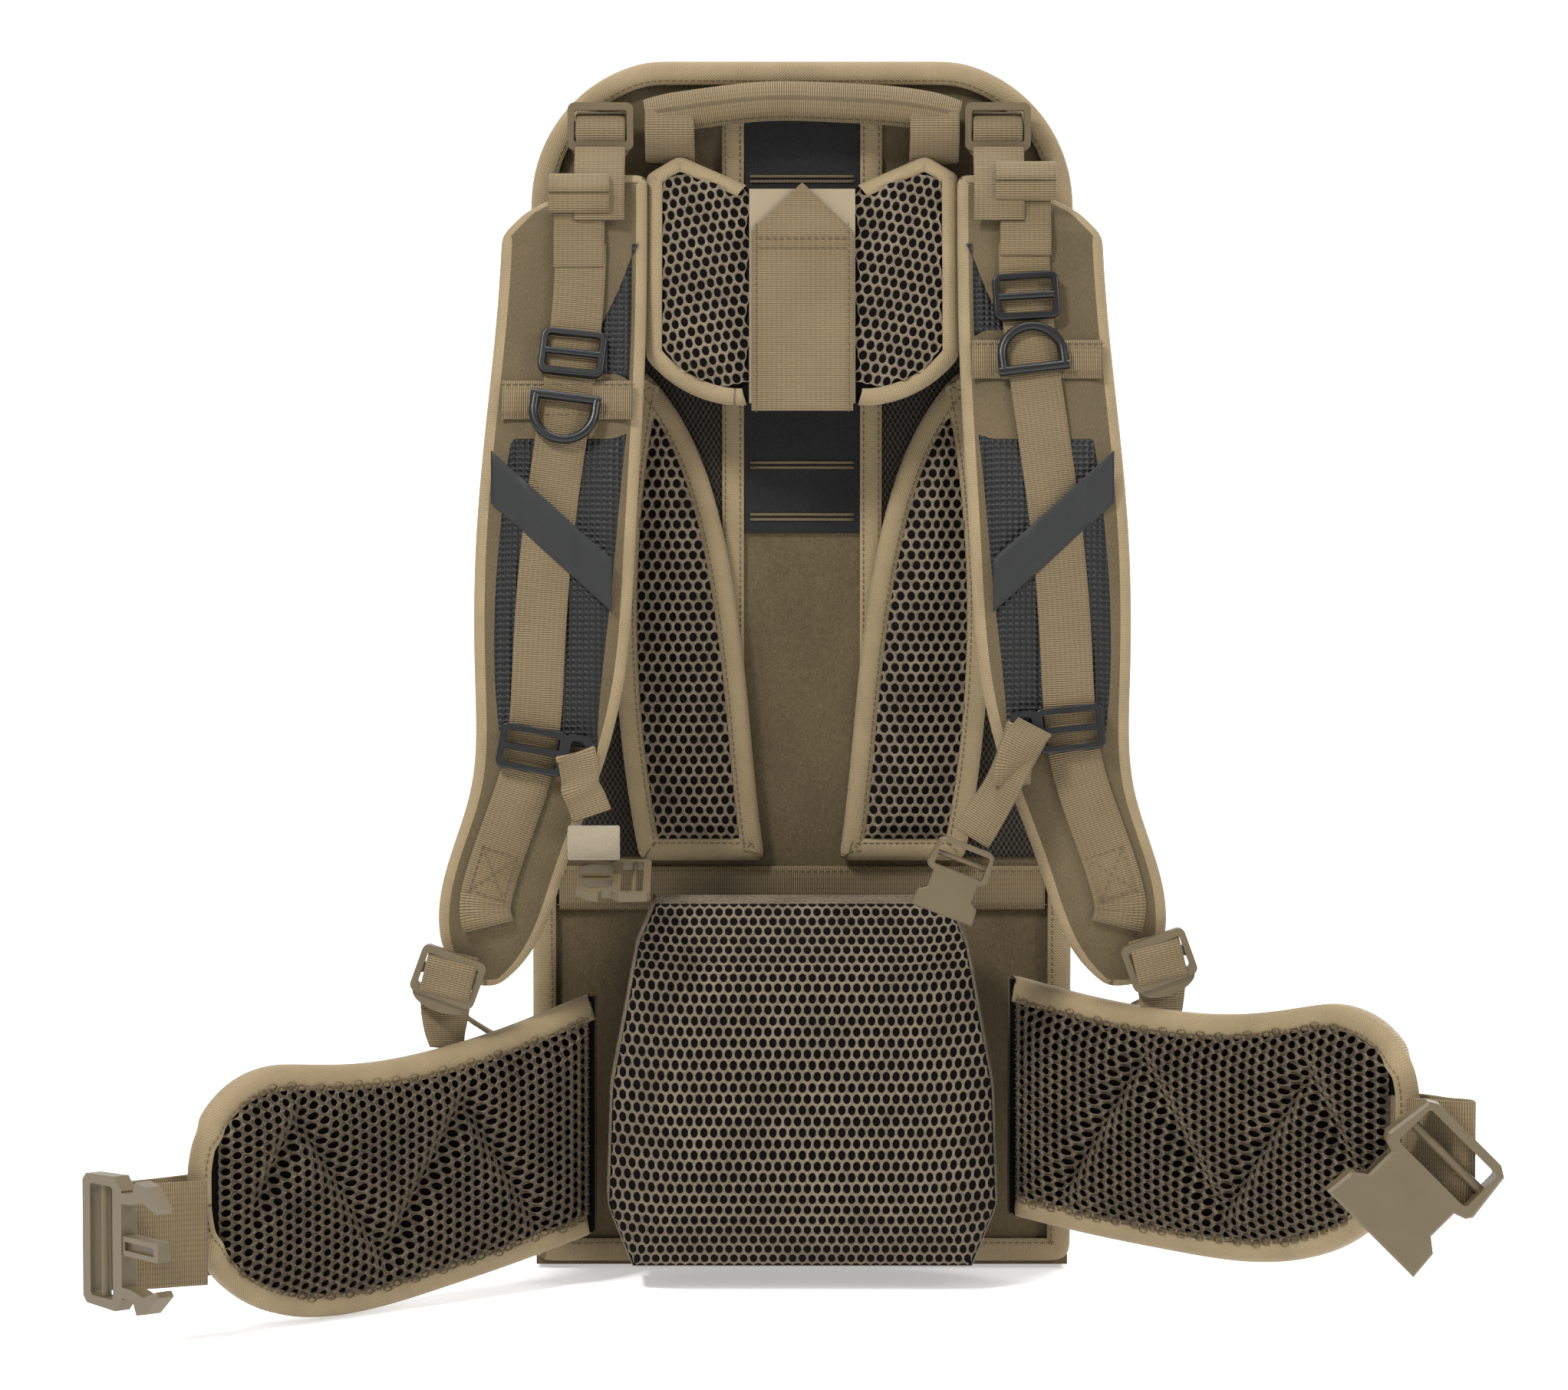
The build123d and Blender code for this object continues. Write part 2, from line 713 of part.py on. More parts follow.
def make_sternum_webbing(side):
    top = slider_ring(side)
    if side > 0:
        end = (top.X - 27, top.Y - 6, top.Z - 50)
        return ribbon(tuple(top), end, (1, 0, -0.5), small_webbing, webbing), Vector(*end)
    end = (top.X + 8, top.Y - 4, top.Z - 28)
    strap = ribbon(tuple(top), end, (1, 0, 0.3), small_webbing, webbing)
    keeper = Box(28, 9, 24).moved(Location((end[0] + 1, end[1] - 2, end[2] - 12.5)))
    keeper = fillet(keeper.edges().filter_by(Axis.X), 4)
    return Compound([strap, keeper]), Vector(end[0], end[1] - 2, end[2] - 25)


def female_plane():
    x, reach, height = female_place
    turn = radians(female_turn)
    return Plane(origin=(x, back - reach, height), x_dir=(cos(turn), 0, -sin(turn)), z_dir=(0, -1, 0))


def male_plane():
    x, reach, height = male_place
    turn = radians(male_turn)
    bar = Vector(x, back - reach, height)
    along = Vector(-cos(turn), sin(turn), 0)
    return Plane(origin=bar - along * 19, x_dir=(0, 0, 1), z_dir=Vector(0, 0, 1).cross(along))


# ---- assembly ----
nodes = {}
inside = back + cloth
sheet_front = inside + sheet_thickness
stay_front = sheet_front + stay_thickness

nodes["bag_shell"] = make_bag_shell()
nodes["base_panel"] = block(-half_width, half_width, back, front, 0, base_thickness)
nodes["frame_sheet"] = make_frame_sheet(inside, sheet_front)
nodes["stays"] = Compound([make_stay(-1, sheet_front), make_stay(1, sheet_front)])
nodes["hydration_sleeve"] = make_sleeve(stay_front)
nodes["edge_binding"] = make_edge_binding()
nodes["zip_track"] = make_zip_track()
nodes["compression_webbing"], nodes["compression_locks"] = make_compression()
nodes["front_panel"] = make_front_panel()
nodes["front_pocket"] = make_front_pocket()
nodes["torso_ladder"] = make_ladder()
nodes["ladder_strips"] = make_ladder_strips()
nodes["waist_webbing"] = make_waist_webbing()
nodes["lumbar_pad"] = make_lumbar_pad()
nodes["yoke_panel"] = make_yoke_panel()
nodes["yoke_tab"] = make_tab()
nodes["haul_handle"] = make_handle()

places = {}
for name, side in (("left", -1), ("right", 1)):
    nodes["side_mesh_" + name] = make_side_mesh(side)
    nodes["back_pad_" + name] = make_back_pad(side)
    nodes["zip_pull_" + name] = make_zip_pull(side)
    nodes["yoke_" + name] = make_yoke(side)
    nodes["strap_pad_" + name] = make_strap_pad(side)
    tail = make_lifter_tail(side, tail_height[side])
    nodes["strap_webbing_" + name] = Compound([make_strap_webbing(side), tail])
    nodes["grid_panel_" + name] = make_grid_panel(side)
    nodes["cross_webbing_" + name] = make_cross_webbing(side, cross_height[side])
    nodes["label_band_" + name] = make_label(side)
    places["triglide_" + name] = strap_place(side, triglide_height[side], clear_of_webbing)
    nodes["triglide_" + name] = places["triglide_" + name] * make_triglide(strap_webbing_width)
    places["slider_" + name] = strap_place(side, slider_height[side], clear_of_webbing)
    slider = make_sternum_slider(strap_webbing_width, side)
    nodes["sternum_slider_" + name] = places["slider_" + name] * slider
    places["dring_" + name] = strap_place(side, dring_height[side], clear_of_triglide)
    nodes["belt_wing_" + name] = make_wing(side)

for name, side in (("left", -1), ("right", 1)):
    places["lifter_lock_" + name] = lock_plane(lifter_place[side], 0, 0)
    places["lower_lock_" + name] = lock_plane(lower_lock_place[side], side * lower_lock_lean, 0)
    for lock in ("lifter_lock_", "lower_lock_"):
        nodes[lock + name] = places[lock + name] * make_ladder_lock(strap_webbing_width)
    nodes["lifter_webbing_" + name] = make_lifter_webbing(side)
    nodes["lower_webbing_" + name] = make_lower_webbing(side)
nodes["sternum_webbing_left"], male_bar = make_sternum_webbing(-1)
nodes["sternum_webbing_right"], female_bar = make_sternum_webbing(1)
male_at = Plane(origin=male_bar + Vector(10, 0, -6), x_dir=(0, -0.9, -0.4), z_dir=(0, -0.4, 0.9))
female_at = Plane(origin=female_bar + Vector(-8, 0, -21), x_dir=(0.93, 0, -0.36), z_dir=(0, -1, 0))
nodes["sternum_male"] = male_at * make_male(sternum_buckle)
nodes["sternum_female"] = female_at * make_female(sternum_buckle)
nodes["belt_webbing_left"] = make_belt_webbing(-1)
nodes["belt_webbing_right"] = make_belt_webbing(1)
nodes["belt_male"] = male_plane() * make_male(belt_width)
nodes["belt_female"] = female_plane() * make_female(belt_width)
nodes["dring_left"] = places["dring_left"] * make_dring(dring_width, dring_length)
nodes["dring_right"] = places["dring_right"] * make_dring(dring_width, dring_length).rotate(Axis.X, 180)

os.makedirs("parts", exist_ok=True)
for name, shape in nodes.items():
    export_step(shape, "parts/" + name + ".step")
print(len(nodes), "nodes")
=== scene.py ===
import bpy
import bmesh
import json
import math
import numpy as np
from functools import partial
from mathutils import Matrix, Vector

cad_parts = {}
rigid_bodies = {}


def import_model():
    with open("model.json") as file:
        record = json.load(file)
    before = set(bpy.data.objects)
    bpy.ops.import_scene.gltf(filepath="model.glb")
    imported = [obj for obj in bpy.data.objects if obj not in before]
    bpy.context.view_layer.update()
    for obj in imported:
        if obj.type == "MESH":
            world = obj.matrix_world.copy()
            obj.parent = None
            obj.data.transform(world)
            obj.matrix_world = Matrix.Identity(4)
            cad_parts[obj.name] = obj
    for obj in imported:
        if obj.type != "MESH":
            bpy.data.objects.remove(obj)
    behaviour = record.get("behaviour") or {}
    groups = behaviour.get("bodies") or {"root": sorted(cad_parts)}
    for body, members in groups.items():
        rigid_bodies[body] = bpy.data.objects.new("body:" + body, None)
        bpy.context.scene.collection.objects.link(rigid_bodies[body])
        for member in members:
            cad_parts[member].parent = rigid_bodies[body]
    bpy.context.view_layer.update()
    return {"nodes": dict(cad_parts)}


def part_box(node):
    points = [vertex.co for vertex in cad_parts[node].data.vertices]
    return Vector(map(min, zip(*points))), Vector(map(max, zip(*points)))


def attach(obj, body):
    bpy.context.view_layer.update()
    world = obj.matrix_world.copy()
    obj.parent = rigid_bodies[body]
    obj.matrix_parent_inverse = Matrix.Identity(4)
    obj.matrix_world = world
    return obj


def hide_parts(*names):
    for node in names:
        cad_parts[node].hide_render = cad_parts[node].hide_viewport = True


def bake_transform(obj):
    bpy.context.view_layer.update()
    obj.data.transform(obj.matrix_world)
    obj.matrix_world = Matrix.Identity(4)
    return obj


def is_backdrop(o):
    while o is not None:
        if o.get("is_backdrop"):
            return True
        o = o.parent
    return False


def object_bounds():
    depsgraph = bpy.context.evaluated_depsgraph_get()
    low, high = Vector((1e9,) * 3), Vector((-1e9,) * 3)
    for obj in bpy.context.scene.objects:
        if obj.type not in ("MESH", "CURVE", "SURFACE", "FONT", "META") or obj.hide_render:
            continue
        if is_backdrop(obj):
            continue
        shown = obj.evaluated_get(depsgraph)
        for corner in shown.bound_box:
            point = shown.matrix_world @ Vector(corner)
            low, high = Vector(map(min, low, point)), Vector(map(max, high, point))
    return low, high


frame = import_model()
mm = 0.001
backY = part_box("bag_shell")[0].y          # plane of the harness panel
sides = (("left", -1), ("right", 1))


class Val:
    # one socket, so that shader sums read as sums
    def __init__(self, mat, socket):
        self.mat, self.socket = mat, socket

    def op(self, kind, other=None, clamp=False):
        return self.mat.add("ShaderNodeMath", {"operation": kind, "use_clamp": clamp}, {0: self, 1: other})

    def __add__(self, other):
        return self.op("ADD", other)

    def __radd__(self, other):
        return self.op("ADD", other)

    def __sub__(self, other):
        return self.op("SUBTRACT", other)

    def __rsub__(self, other):
        return self.mat.add("ShaderNodeMath", {"operation": "SUBTRACT"}, {0: other, 1: self})

    def __mul__(self, other):
        return self.op("MULTIPLY", other)

    def __rmul__(self, other):
        return self.op("MULTIPLY", other)

    def __pow__(self, other):
        return self.op("POWER", other)

    def sine(self):
        return self.op("SINE")

    def absolute(self):
        return self.op("ABSOLUTE")

    def clamp(self):
        return self.op("ADD", 0.0, clamp=True)


def plug(tree, socket, value):
    # a link, a colour or a plain value into a socket
    if isinstance(value, Val):
        value = value.socket
    if value is None:
        return
    if hasattr(value, "is_output"):
        tree.links.new(value, socket)
    elif socket.type == "RGBA" and len(value) == 3:
        socket.default_value = (*value, 1)
    else:
        socket.default_value = value


def addNode(tree, kind, settings=None, inputs=None):
    # a node by its type, its settings, then the values or links of its sockets
    node = tree.nodes.new(kind)
    for key, value in (settings or {}).items():
        setattr(node, key, value)
    for key, value in (inputs or {}).items():
        plug(tree, node.inputs[key], value)
    return node


class Mat:
    def __init__(self, name):
        self.material = bpy.data.materials.new(name)
        self.material.use_nodes = True
        self.tree = self.material.node_tree
        self.shader = self.tree.nodes["Principled BSDF"]

    def add(self, kind, settings=None, inputs=None, out=0):
        return Val(self, addNode(self.tree, kind, settings, inputs).outputs[out])

    def put(self, socket, value):
        plug(self.tree, socket, value)

    def noise(self, where, scale, detail=2.0, rough=0.5):
        return self.add("ShaderNodeTexNoise", {},
                        {"Vector": where, "Scale": scale, "Detail": detail, "Roughness": rough})

    def mix(self, factor, first, second, blend="MIX"):
        return self.add("ShaderNodeMix", {"data_type": "RGBA", "blend_type": blend},
                        {0: factor, 6: first, 7: second}, out=2)

    def split(self, where):
        node = addNode(self.tree, "ShaderNodeSeparateXYZ", {}, {0: where})
        return [Val(self, node.outputs[i]) for i in range(3)]

    def uv(self):
        return self.add("ShaderNodeUVMap", {"uv_map": "weave"})

    def place(self):
        return self.add("ShaderNodeTexCoord", {}, {}, out=3)

    def stretch(self, where, scale):
        return self.add("ShaderNodeMapping", {}, {"Vector": where, "Scale": scale})

    def finish(self, color, rough, height=None, depth=0.0003, sheen=0.0, metallic=0.0, specular=0.5):
        self.put(self.shader.inputs["Base Color"], color)
        self.put(self.shader.inputs["Roughness"], rough)
        self.shader.inputs["Metallic"].default_value = metallic
        self.shader.inputs["Specular IOR Level"].default_value = specular
        self.shader.inputs["Sheen Weight"].default_value = sheen
        self.shader.inputs["Sheen Roughness"].default_value = 0.5
        if height is not None:
            bump = self.add("ShaderNodeBump", {}, {"Height": height, "Strength": 1.0, "Distance": depth})
            self.put(self.shader.inputs["Normal"], bump)
        return self.material


tones = {
    "cloth": (0.165, 0.122, 0.064), "clothDark": (0.040, 0.029, 0.015),
    "webbing": (0.270, 0.200, 0.104), "webbingDark": (0.064, 0.046, 0.023),
    "binding": (0.350, 0.265, 0.145), "bindingDark": (0.130, 0.096, 0.050),
    "yarn": (0.270, 0.213, 0.142), "yarnDark": (0.045, 0.036, 0.024),
    "foam": (0.0040, 0.0034, 0.0028), "airMesh": (0.056, 0.047, 0.034),
    "plastic": (0.118, 0.088, 0.045), "black": (0.0050, 0.0053, 0.0056),
    "loopTan": (0.400, 0.330, 0.225), "thread": (0.200, 0.148, 0.075),
    "airMeshDark": (0.008, 0.007, 0.006), "grid": (0.024, 0.024, 0.023), "gridDark": (0.0012, 0.0012, 0.0012),
    "loopBlack": (0.013, 0.013, 0.013), "loopBlackDark": (0.0015, 0.0015, 0.0015),
    "label": (0.012, 0.0125, 0.0125), "sheet": (0.02, 0.02, 0.02),
    "metal": (0.66, 0.66, 0.67), "metalDark": (0.42, 0.43, 0.44),
}
clothThreads = 1500.0     # per metre
webbingRibs = 925.0       # per metre


def toned(color, by):
    return tuple(c * by for c in color)


def makeCloth(name, light, dark):
    # plain weave of thick nylon: over and under threads, with a fleck from thread to thread
    m = Mat(name)
    u, v, _ = m.split(m.uv())
    warp = (u * (clothThreads * math.pi)).sine()
    weft = (v * (clothThreads * math.pi)).sine()
    cross = (warp * weft) * 0.5 + 0.5
    fleck = m.noise(m.stretch(m.uv(), (1400, 500, 1)), 1.0, 2.0)
    cloud = m.noise(m.place(), 22.0, 3.0)
    shade = cross * 0.45 + fleck * 0.55 + (cloud - 0.5) * 0.5
    color = m.mix(shade.clamp(), dark, light)
    return m.finish(color, 0.78, cross + fleck * 0.5, 0.00025, sheen=0.06, specular=0.2)


def makeWebbing(name, light, dark):
    # ribs run across the webbing, with fine threads along it
    m = Mat(name)
    u, v, _ = m.split(m.uv())
    rib = (v * (webbingRibs * math.pi)).sine().absolute()
    thread = (u * 2600.0).sine() * 0.5 + 0.5
    fleck = m.noise(m.stretch(m.uv(), (900, 2200, 1)), 1.0, 2.0)
    cloud = m.noise(m.place(), 30.0, 2.0)
    shade = rib * 0.62 + thread * 0.14 + fleck * 0.34 + (cloud - 0.5) * 0.35 - 0.04
    color = m.mix(shade.clamp(), dark, light)
    return m.finish(color, 0.62, rib + thread * 0.2, 0.00045, sheen=0.05, specular=0.26)


def makeBinding(name, light, dark):
    # fine twill tape folded over an edge
    m = Mat(name)
    u, v, _ = m.split(m.uv())
    twill = ((u + v) * 4200.0).sine() * 0.5 + 0.5
    thread = (v * 5200.0).sine() * 0.5 + 0.5
    cloud = m.noise(m.place(), 45.0, 3.0)
    fleck = m.noise(m.stretch(m.uv(), (700, 1500, 1)), 1.0, 2.0)
    shade = twill * 0.22 + thread * 0.16 + fleck * 0.35 + cloud * 0.5
    color = m.mix(shade.clamp(), dark, light)
    return m.finish(color, 0.6, twill + thread * 0.6, 0.00016, sheen=0.08, specular=0.26)


def makeYarn(name, light, dark):
    m = Mat(name)
    where = m.place()
    strand = m.noise(m.stretch(where, (1800, 1800, 900)), 1.0, 2.0, 0.6)
    cloud = m.noise(where, 60.0, 2.0)
    shade = ((strand - 0.5) * 1.7 + 0.55 + (cloud - 0.5) * 0.7).clamp()
    return m.finish(m.mix(shade, dark, light), 0.7, strand, 0.0006, sheen=0.04, specular=0.25)


def makeFoam(name, color):
    m = Mat(name)
    grain = m.noise(m.place(), 900.0, 3.0, 0.7)
    tone = m.mix(grain, toned(color, 0.35), toned(color, 1.8))
    return m.finish(tone, 0.95, grain, 0.0008, specular=0.1)


def makeAirMesh(name, light, dark, pitch):
    # small round holes in staggered rows, drawn dark
    m = Mat(name)
    u, v, _ = m.split(m.uv())
    step = math.pi / (pitch * mm)
    first = (u * step + v * (step * 0.6)).sine()
    second = (u * step - v * (step * 0.6)).sine()
    hole = (first * second).absolute()
    fleck = m.noise(m.stretch(m.uv(), (1500, 1500, 1)), 1.0, 2.0)
    shade = (1.15 - hole * 1.6 + (fleck - 0.5) * 0.7).clamp()
    return m.finish(m.mix(shade, dark, light), 0.85, shade, 0.0009, specular=0.2)


def makeGrid(name, light, dark, pitch):
    # shiny black grid cloth with raised threads round small cells
    m = Mat(name)
    u, v, _ = m.split(m.uv())
    step = math.pi / (pitch * mm)
    cell = (u * step).sine().absolute() * (v * step).sine().absolute()
    fleck = m.noise(m.stretch(m.uv(), (1300, 1300, 1)), 1.0, 2.0)
    shade = ((1.0 - cell) ** 3.0 * 0.8 + (fleck - 0.5) * 0.5).clamp()
    color = m.mix(shade, dark, light)
    return m.finish(color, 0.5, 1.0 - cell, 0.0007, specular=0.32)


def makeLoop(name, light, dark, scale=1500.0, stretch=(1, 1, 1)):
    # brushed loop pile
    m = Mat(name)
    pile = m.noise(m.stretch(m.place(), stretch), scale, 4.0, 0.7)
    return m.finish(m.mix(((pile - 0.5) * 2.2 + 0.5).clamp(), dark, light), 0.9, pile, 0.0007, sheen=0.4,
                    specular=0.2)


def makePlastic(name, color, rough=0.42, grain=1400.0):
    m = Mat(name)
    where = m.place()
    fine = m.noise(where, grain, 2.0, 0.5)
    cloud = m.noise(where, 55.0, 3.0)
    tone = m.mix(cloud, toned(color, 0.86), toned(color, 1.12))
    gloss = (cloud - 0.5) * 0.16 + rough
    return m.finish(tone, gloss, fine, 0.00007, specular=0.45)


def makeMetal(name):
    m = Mat(name)
    grain = m.noise(m.stretch(m.place(), (2200, 2200, 60)), 1.0, 2.0)
    return m.finish(m.mix(grain, tones["metalDark"], tones["metal"]), grain * 0.15 + 0.3, grain, 0.00004,
                    metallic=1.0)


cloth = makeCloth("packCloth", tones["cloth"], tones["clothDark"])
strapCloth = makeCloth("strapCloth", toned(tones["cloth"], 1.08), tones["clothDark"])
webbing = makeWebbing("ribbedWebbing", tones["webbing"], tones["webbingDark"])
binding = makeBinding("edgeBinding", tones["binding"], tones["bindingDark"])
yarn = makeYarn("meshYarn", tones["yarn"], tones["yarnDark"])
foam = makeFoam("darkFoam", tones["foam"])
airMesh = makeAirMesh("airMesh", tones["airMesh"], tones["airMeshDark"], 2.6)
gridCloth = makeGrid("gridCloth", tones["grid"], tones["gridDark"], 2.9)
blackLoop = makeLoop("blackLoop", tones["loopBlack"], tones["loopBlackDark"], 1100.0, (1, 1, 0.5))
tanLoop = makeLoop("tanLoop", tones["loopTan"], toned(tones["loopTan"], 0.55))
tanPlastic = makePlastic("tanPlastic", tones["plastic"])
blackPlastic = makePlastic("blackPlastic", tones["black"], 0.36)
labelCloth = makePlastic("labelCloth", tones["label"], 0.62, 2500.0)
threadMat = makeBinding("stitchThread", toned(tones["thread"], 0.8), toned(tones["thread"], 0.35))
metal = makeMetal("stayMetal")
blackSheet = makePlastic("frameSheet", tones["sheet"], 0.5)
print("materials made")


# mesh helpers
def makeObject(name, points, faces, material, uv=None):
    mesh = bpy.data.meshes.new(name)
    mesh.from_pydata([tuple(map(float, p)) for p in points], [], [tuple(int(i) for i in f) for f in faces])
    if uv is not None:
        layer = mesh.uv_layers.new(name="weave")
        index = np.zeros(len(mesh.loops), int)
        mesh.loops.foreach_get("vertex_index", index)
        layer.data.foreach_set("uv", np.asarray(uv, float)[index].ravel())
    mesh.materials.append(material)
    obj = bpy.data.objects.new(name, mesh)
    bpy.context.scene.collection.objects.link(obj)
    mesh.polygons.foreach_set("use_smooth", [True] * len(mesh.polygons))
    return obj


def recalc(obj):
    work = bmesh.new()
    work.from_mesh(obj.data)
    bmesh.ops.remove_doubles(work, verts=work.verts, dist=1e-6)
    bmesh.ops.recalc_face_normals(work, faces=work.faces)
    work.to_mesh(obj.data)
    work.free()
    return obj


def triangles(name):
    mesh = frame["nodes"][name].data
    mesh.calc_loop_triangles()
    points = np.array([v.co for v in mesh.vertices], float)
    return points[np.array([t.vertices for t in mesh.loop_triangles])]


def slices(name, axis, count, low=None, high=None):
    # a CAD piece cut square to an axis: each row is a place, the low and high across it, and the middle Y
    tri = triangles(name)
    other = 0 if axis == 2 else 2
    bottom = tri[..., axis].min() if low is None else low
    top = tri[..., axis].max() if high is None else high
    ease = 0.5 - 0.5 * np.cos(np.linspace(0, math.pi, count))
    if low is not None:
        ease = np.linspace(0, 1, count)
    rows = []
    for value in bottom + (top - bottom) * (0.002 + 0.996 * ease):
        side = tri[..., axis] - value
        cuts = []
        for i, j in ((0, 1), (1, 2), (2, 0)):
            hit = side[:, i] * side[:, j] < 0
            t = side[hit, i] / (side[hit, i] - side[hit, j])
            cuts.append(tri[hit, i] + t[:, None] * (tri[hit, j] - tri[hit, i]))
        cut = np.concatenate(cuts)
        if len(cut):
            rows.append((value, cut[:, other].min(), cut[:, other].max(),
                         (cut[:, 1].min() + cut[:, 1].max()) / 2))
    return np.array(rows)


class Sheet:
    # the curved middle surface of a flat piece: Y, the outward direction and arc length at any X and Z
    def __init__(self, rows, axis):
        self.axis, self.rows = axis, rows
        self.at, self.y = rows[:, 0], rows[:, 3]
        step = np.hypot(np.diff(self.at), np.diff(self.y))
        self.arc = np.concatenate([[0], np.cumsum(step)])
        self.low, self.high = rows[:, 1], rows[:, 2]

    def depth(self, x, z):
        return np.interp(z if self.axis == 2 else x, self.at, self.y)

    def out(self, x, z):
        at = np.asarray(z if self.axis == 2 else x, float)
        h = 0.002
        slope = (np.interp(at + h, self.at, self.y) - np.interp(at - h, self.at, self.y)) / (2 * h)
        size = np.sqrt(1 + slope ** 2)
        if self.axis == 2:
            return np.stack([np.zeros_like(at), -1 / size, slope / size], -1)
        return np.stack([slope / size, -1 / size, np.zeros_like(at)], -1)

    def point(self, x, z, off=0.0):
        x, z = np.broadcast_arrays(np.asarray(x, float), np.asarray(z, float))
        spot = np.stack([x, self.depth(x, z), z], -1)
        return spot + self.out(x, z) * np.asarray(off)[..., None]

    def weave(self, x, z):
        if self.axis == 2:
            return np.stack([x, np.interp(z, self.at, self.arc)], -1)
        return np.stack([np.interp(x, self.at, self.arc), z], -1)

    def outline(self, steps):
        # closed outline in X and Z, evenly spaced, and the inward direction at each point
        left = np.stack([self.low, self.at], -1)
        right = np.stack([self.high, self.at], -1)
        loop = np.concatenate([left, right[::-1]])
        if self.axis == 0:
            loop = loop[:, ::-1]
        loop = np.concatenate([loop, loop[:1]])
        arc = np.concatenate([[0], np.cumsum(np.hypot(*np.diff(loop, axis=0).T))])
        keep = np.concatenate([[True], np.diff(arc) > 1e-6])
        spots = np.linspace(0, arc[-1], steps, endpoint=False)
        loop = np.stack([np.interp(spots, arc[keep], loop[keep, k]) for k in range(2)], -1)
        for _ in range(3):
            loop = loop * 0.5 + (np.roll(loop, 1, 0) + np.roll(loop, -1, 0)) * 0.25
        ahead = np.roll(loop, -1, 0) - np.roll(loop, 1, 0)
        inner = np.stack([-ahead[:, 1], ahead[:, 0]], -1) / np.maximum(np.hypot(*ahead.T), 1e-9)[:, None]
        area = np.sum(loop[:, 0] * np.roll(loop[:, 1], -1) - np.roll(loop[:, 0], -1) * loop[:, 1])
        inner = inner * (1 if area > 0 else -1)
        return loop, inner


def sheetOf(name, axis, count):
    return Sheet(slices(name, axis, count), axis)


def padMesh(name, sheet, material, front, rear, rim, edge, columns=36, shape=None, lip=0.0, lining=None):
    # closed pad about a sheet: front and rear are how far it stands off in its middle, rim at its edge
    rows = sheet.rows
    ease = 0.5 - 0.5 * np.cos(np.linspace(0, math.pi, columns))
    a = rows[:, 1:2] + (rows[:, 2:3] - rows[:, 1:2]) * ease
    at = np.repeat(rows[:, 0:1], columns, 1)
    x, z = (a, at) if sheet.axis == 2 else (at, a)
    near = np.minimum(a - rows[:, 1:2], rows[:, 2:3] - a)
    ends = np.minimum(at - rows[0, 0], rows[-1, 0] - at)
    t = np.clip((np.minimum(near, ends) - lip) / edge, 0, 1)
    swell = np.sin(t * math.pi / 2)
    extra = shape(x, z) if shape else 0.0
    top = sheet.point(x, z, rim + (front - rim) * swell + extra * swell)
    under = sheet.point(x, z, -(rim + (rear - rim) * swell))
    n, m = x.shape
    points = np.concatenate([top.reshape(-1, 3), under.reshape(-1, 3)])
    uv = sheet.weave(x, z).reshape(-1, 2)
    index = np.arange(n * m).reshape(n, m)
    faces = []
    for shift, turn in ((0, False), (n * m, True)):
        quads = np.stack([index[:-1, :-1], index[:-1, 1:], index[1:, 1:], index[1:, :-1]], -1)
        quads = quads.reshape(-1, 4) + shift
        faces += (quads[:, ::-1] if turn else quads).tolist()
    loop = np.concatenate([index[0, :], index[1:, -1], index[-1, -2::-1], index[-2:0:-1, 0]])
    follow = np.roll(loop, -1)
    faces += np.stack([loop, loop + n * m, follow + n * m, follow], -1).tolist()
    obj = makeObject(name, points, faces, material, np.concatenate([uv, uv]))
    if lining:
        obj.data.materials.append(lining)
        quads = (n - 1) * (m - 1)
        for face in obj.data.polygons[quads:]:
            face.material_index = 1
    return recalc(obj)


def strip(name, path, across, width, thick, material, body=None, crown=0.0, slant=False):
    # flat webbing along a path. across gives its width direction at each point. The UV map is in metres
    path, across = np.asarray(path, float), np.asarray(across, float)
    if across.ndim == 1:
        across = np.repeat(across[None], len(path), 0)
    ahead = np.gradient(path, axis=0)
    ahead /= np.maximum(np.linalg.norm(ahead, axis=1), 1e-9)[:, None]
    if not slant:
        across = across - ahead * np.sum(across * ahead, 1)[:, None]
    across /= np.linalg.norm(across, axis=1)[:, None]
    face = np.cross(ahead, across)
    face /= np.linalg.norm(face, axis=1)[:, None]
    h, t = width / 2, thick / 2
    r = min(t * 0.9, 0.0007)
    ring = [(-h + r, t), (-h * 0.5, t + crown), (0, t + crown), (h * 0.5, t + crown), (h - r, t), (h, t - r),
            (h, -t + r), (h - r, -t),
            (0, -t), (-h + r, -t), (-h, -t + r), (-h, t - r)]
    k = len(ring)
    arc = np.concatenate([[0], np.cumsum(np.linalg.norm(np.diff(path, axis=0), axis=1))])
    points, uv = [], []
    for i, spot in enumerate(path):
        for u, w in ring:
            points.append(spot + across[i] * u + face[i] * w)
            uv.append((u, arc[i]))
    faces = []
    for i in range(len(path) - 1):
        for j in range(k):
            q = (j + 1) % k
            faces.append((i * k + j, i * k + q, (i + 1) * k + q, (i + 1) * k + j))
    faces.append(tuple(range(k))[::-1])
    faces.append(tuple((len(path) - 1) * k + j for j in range(k)))
    obj = recalc(makeObject(name, points, faces, material, uv))
    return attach(obj, body) if body else obj


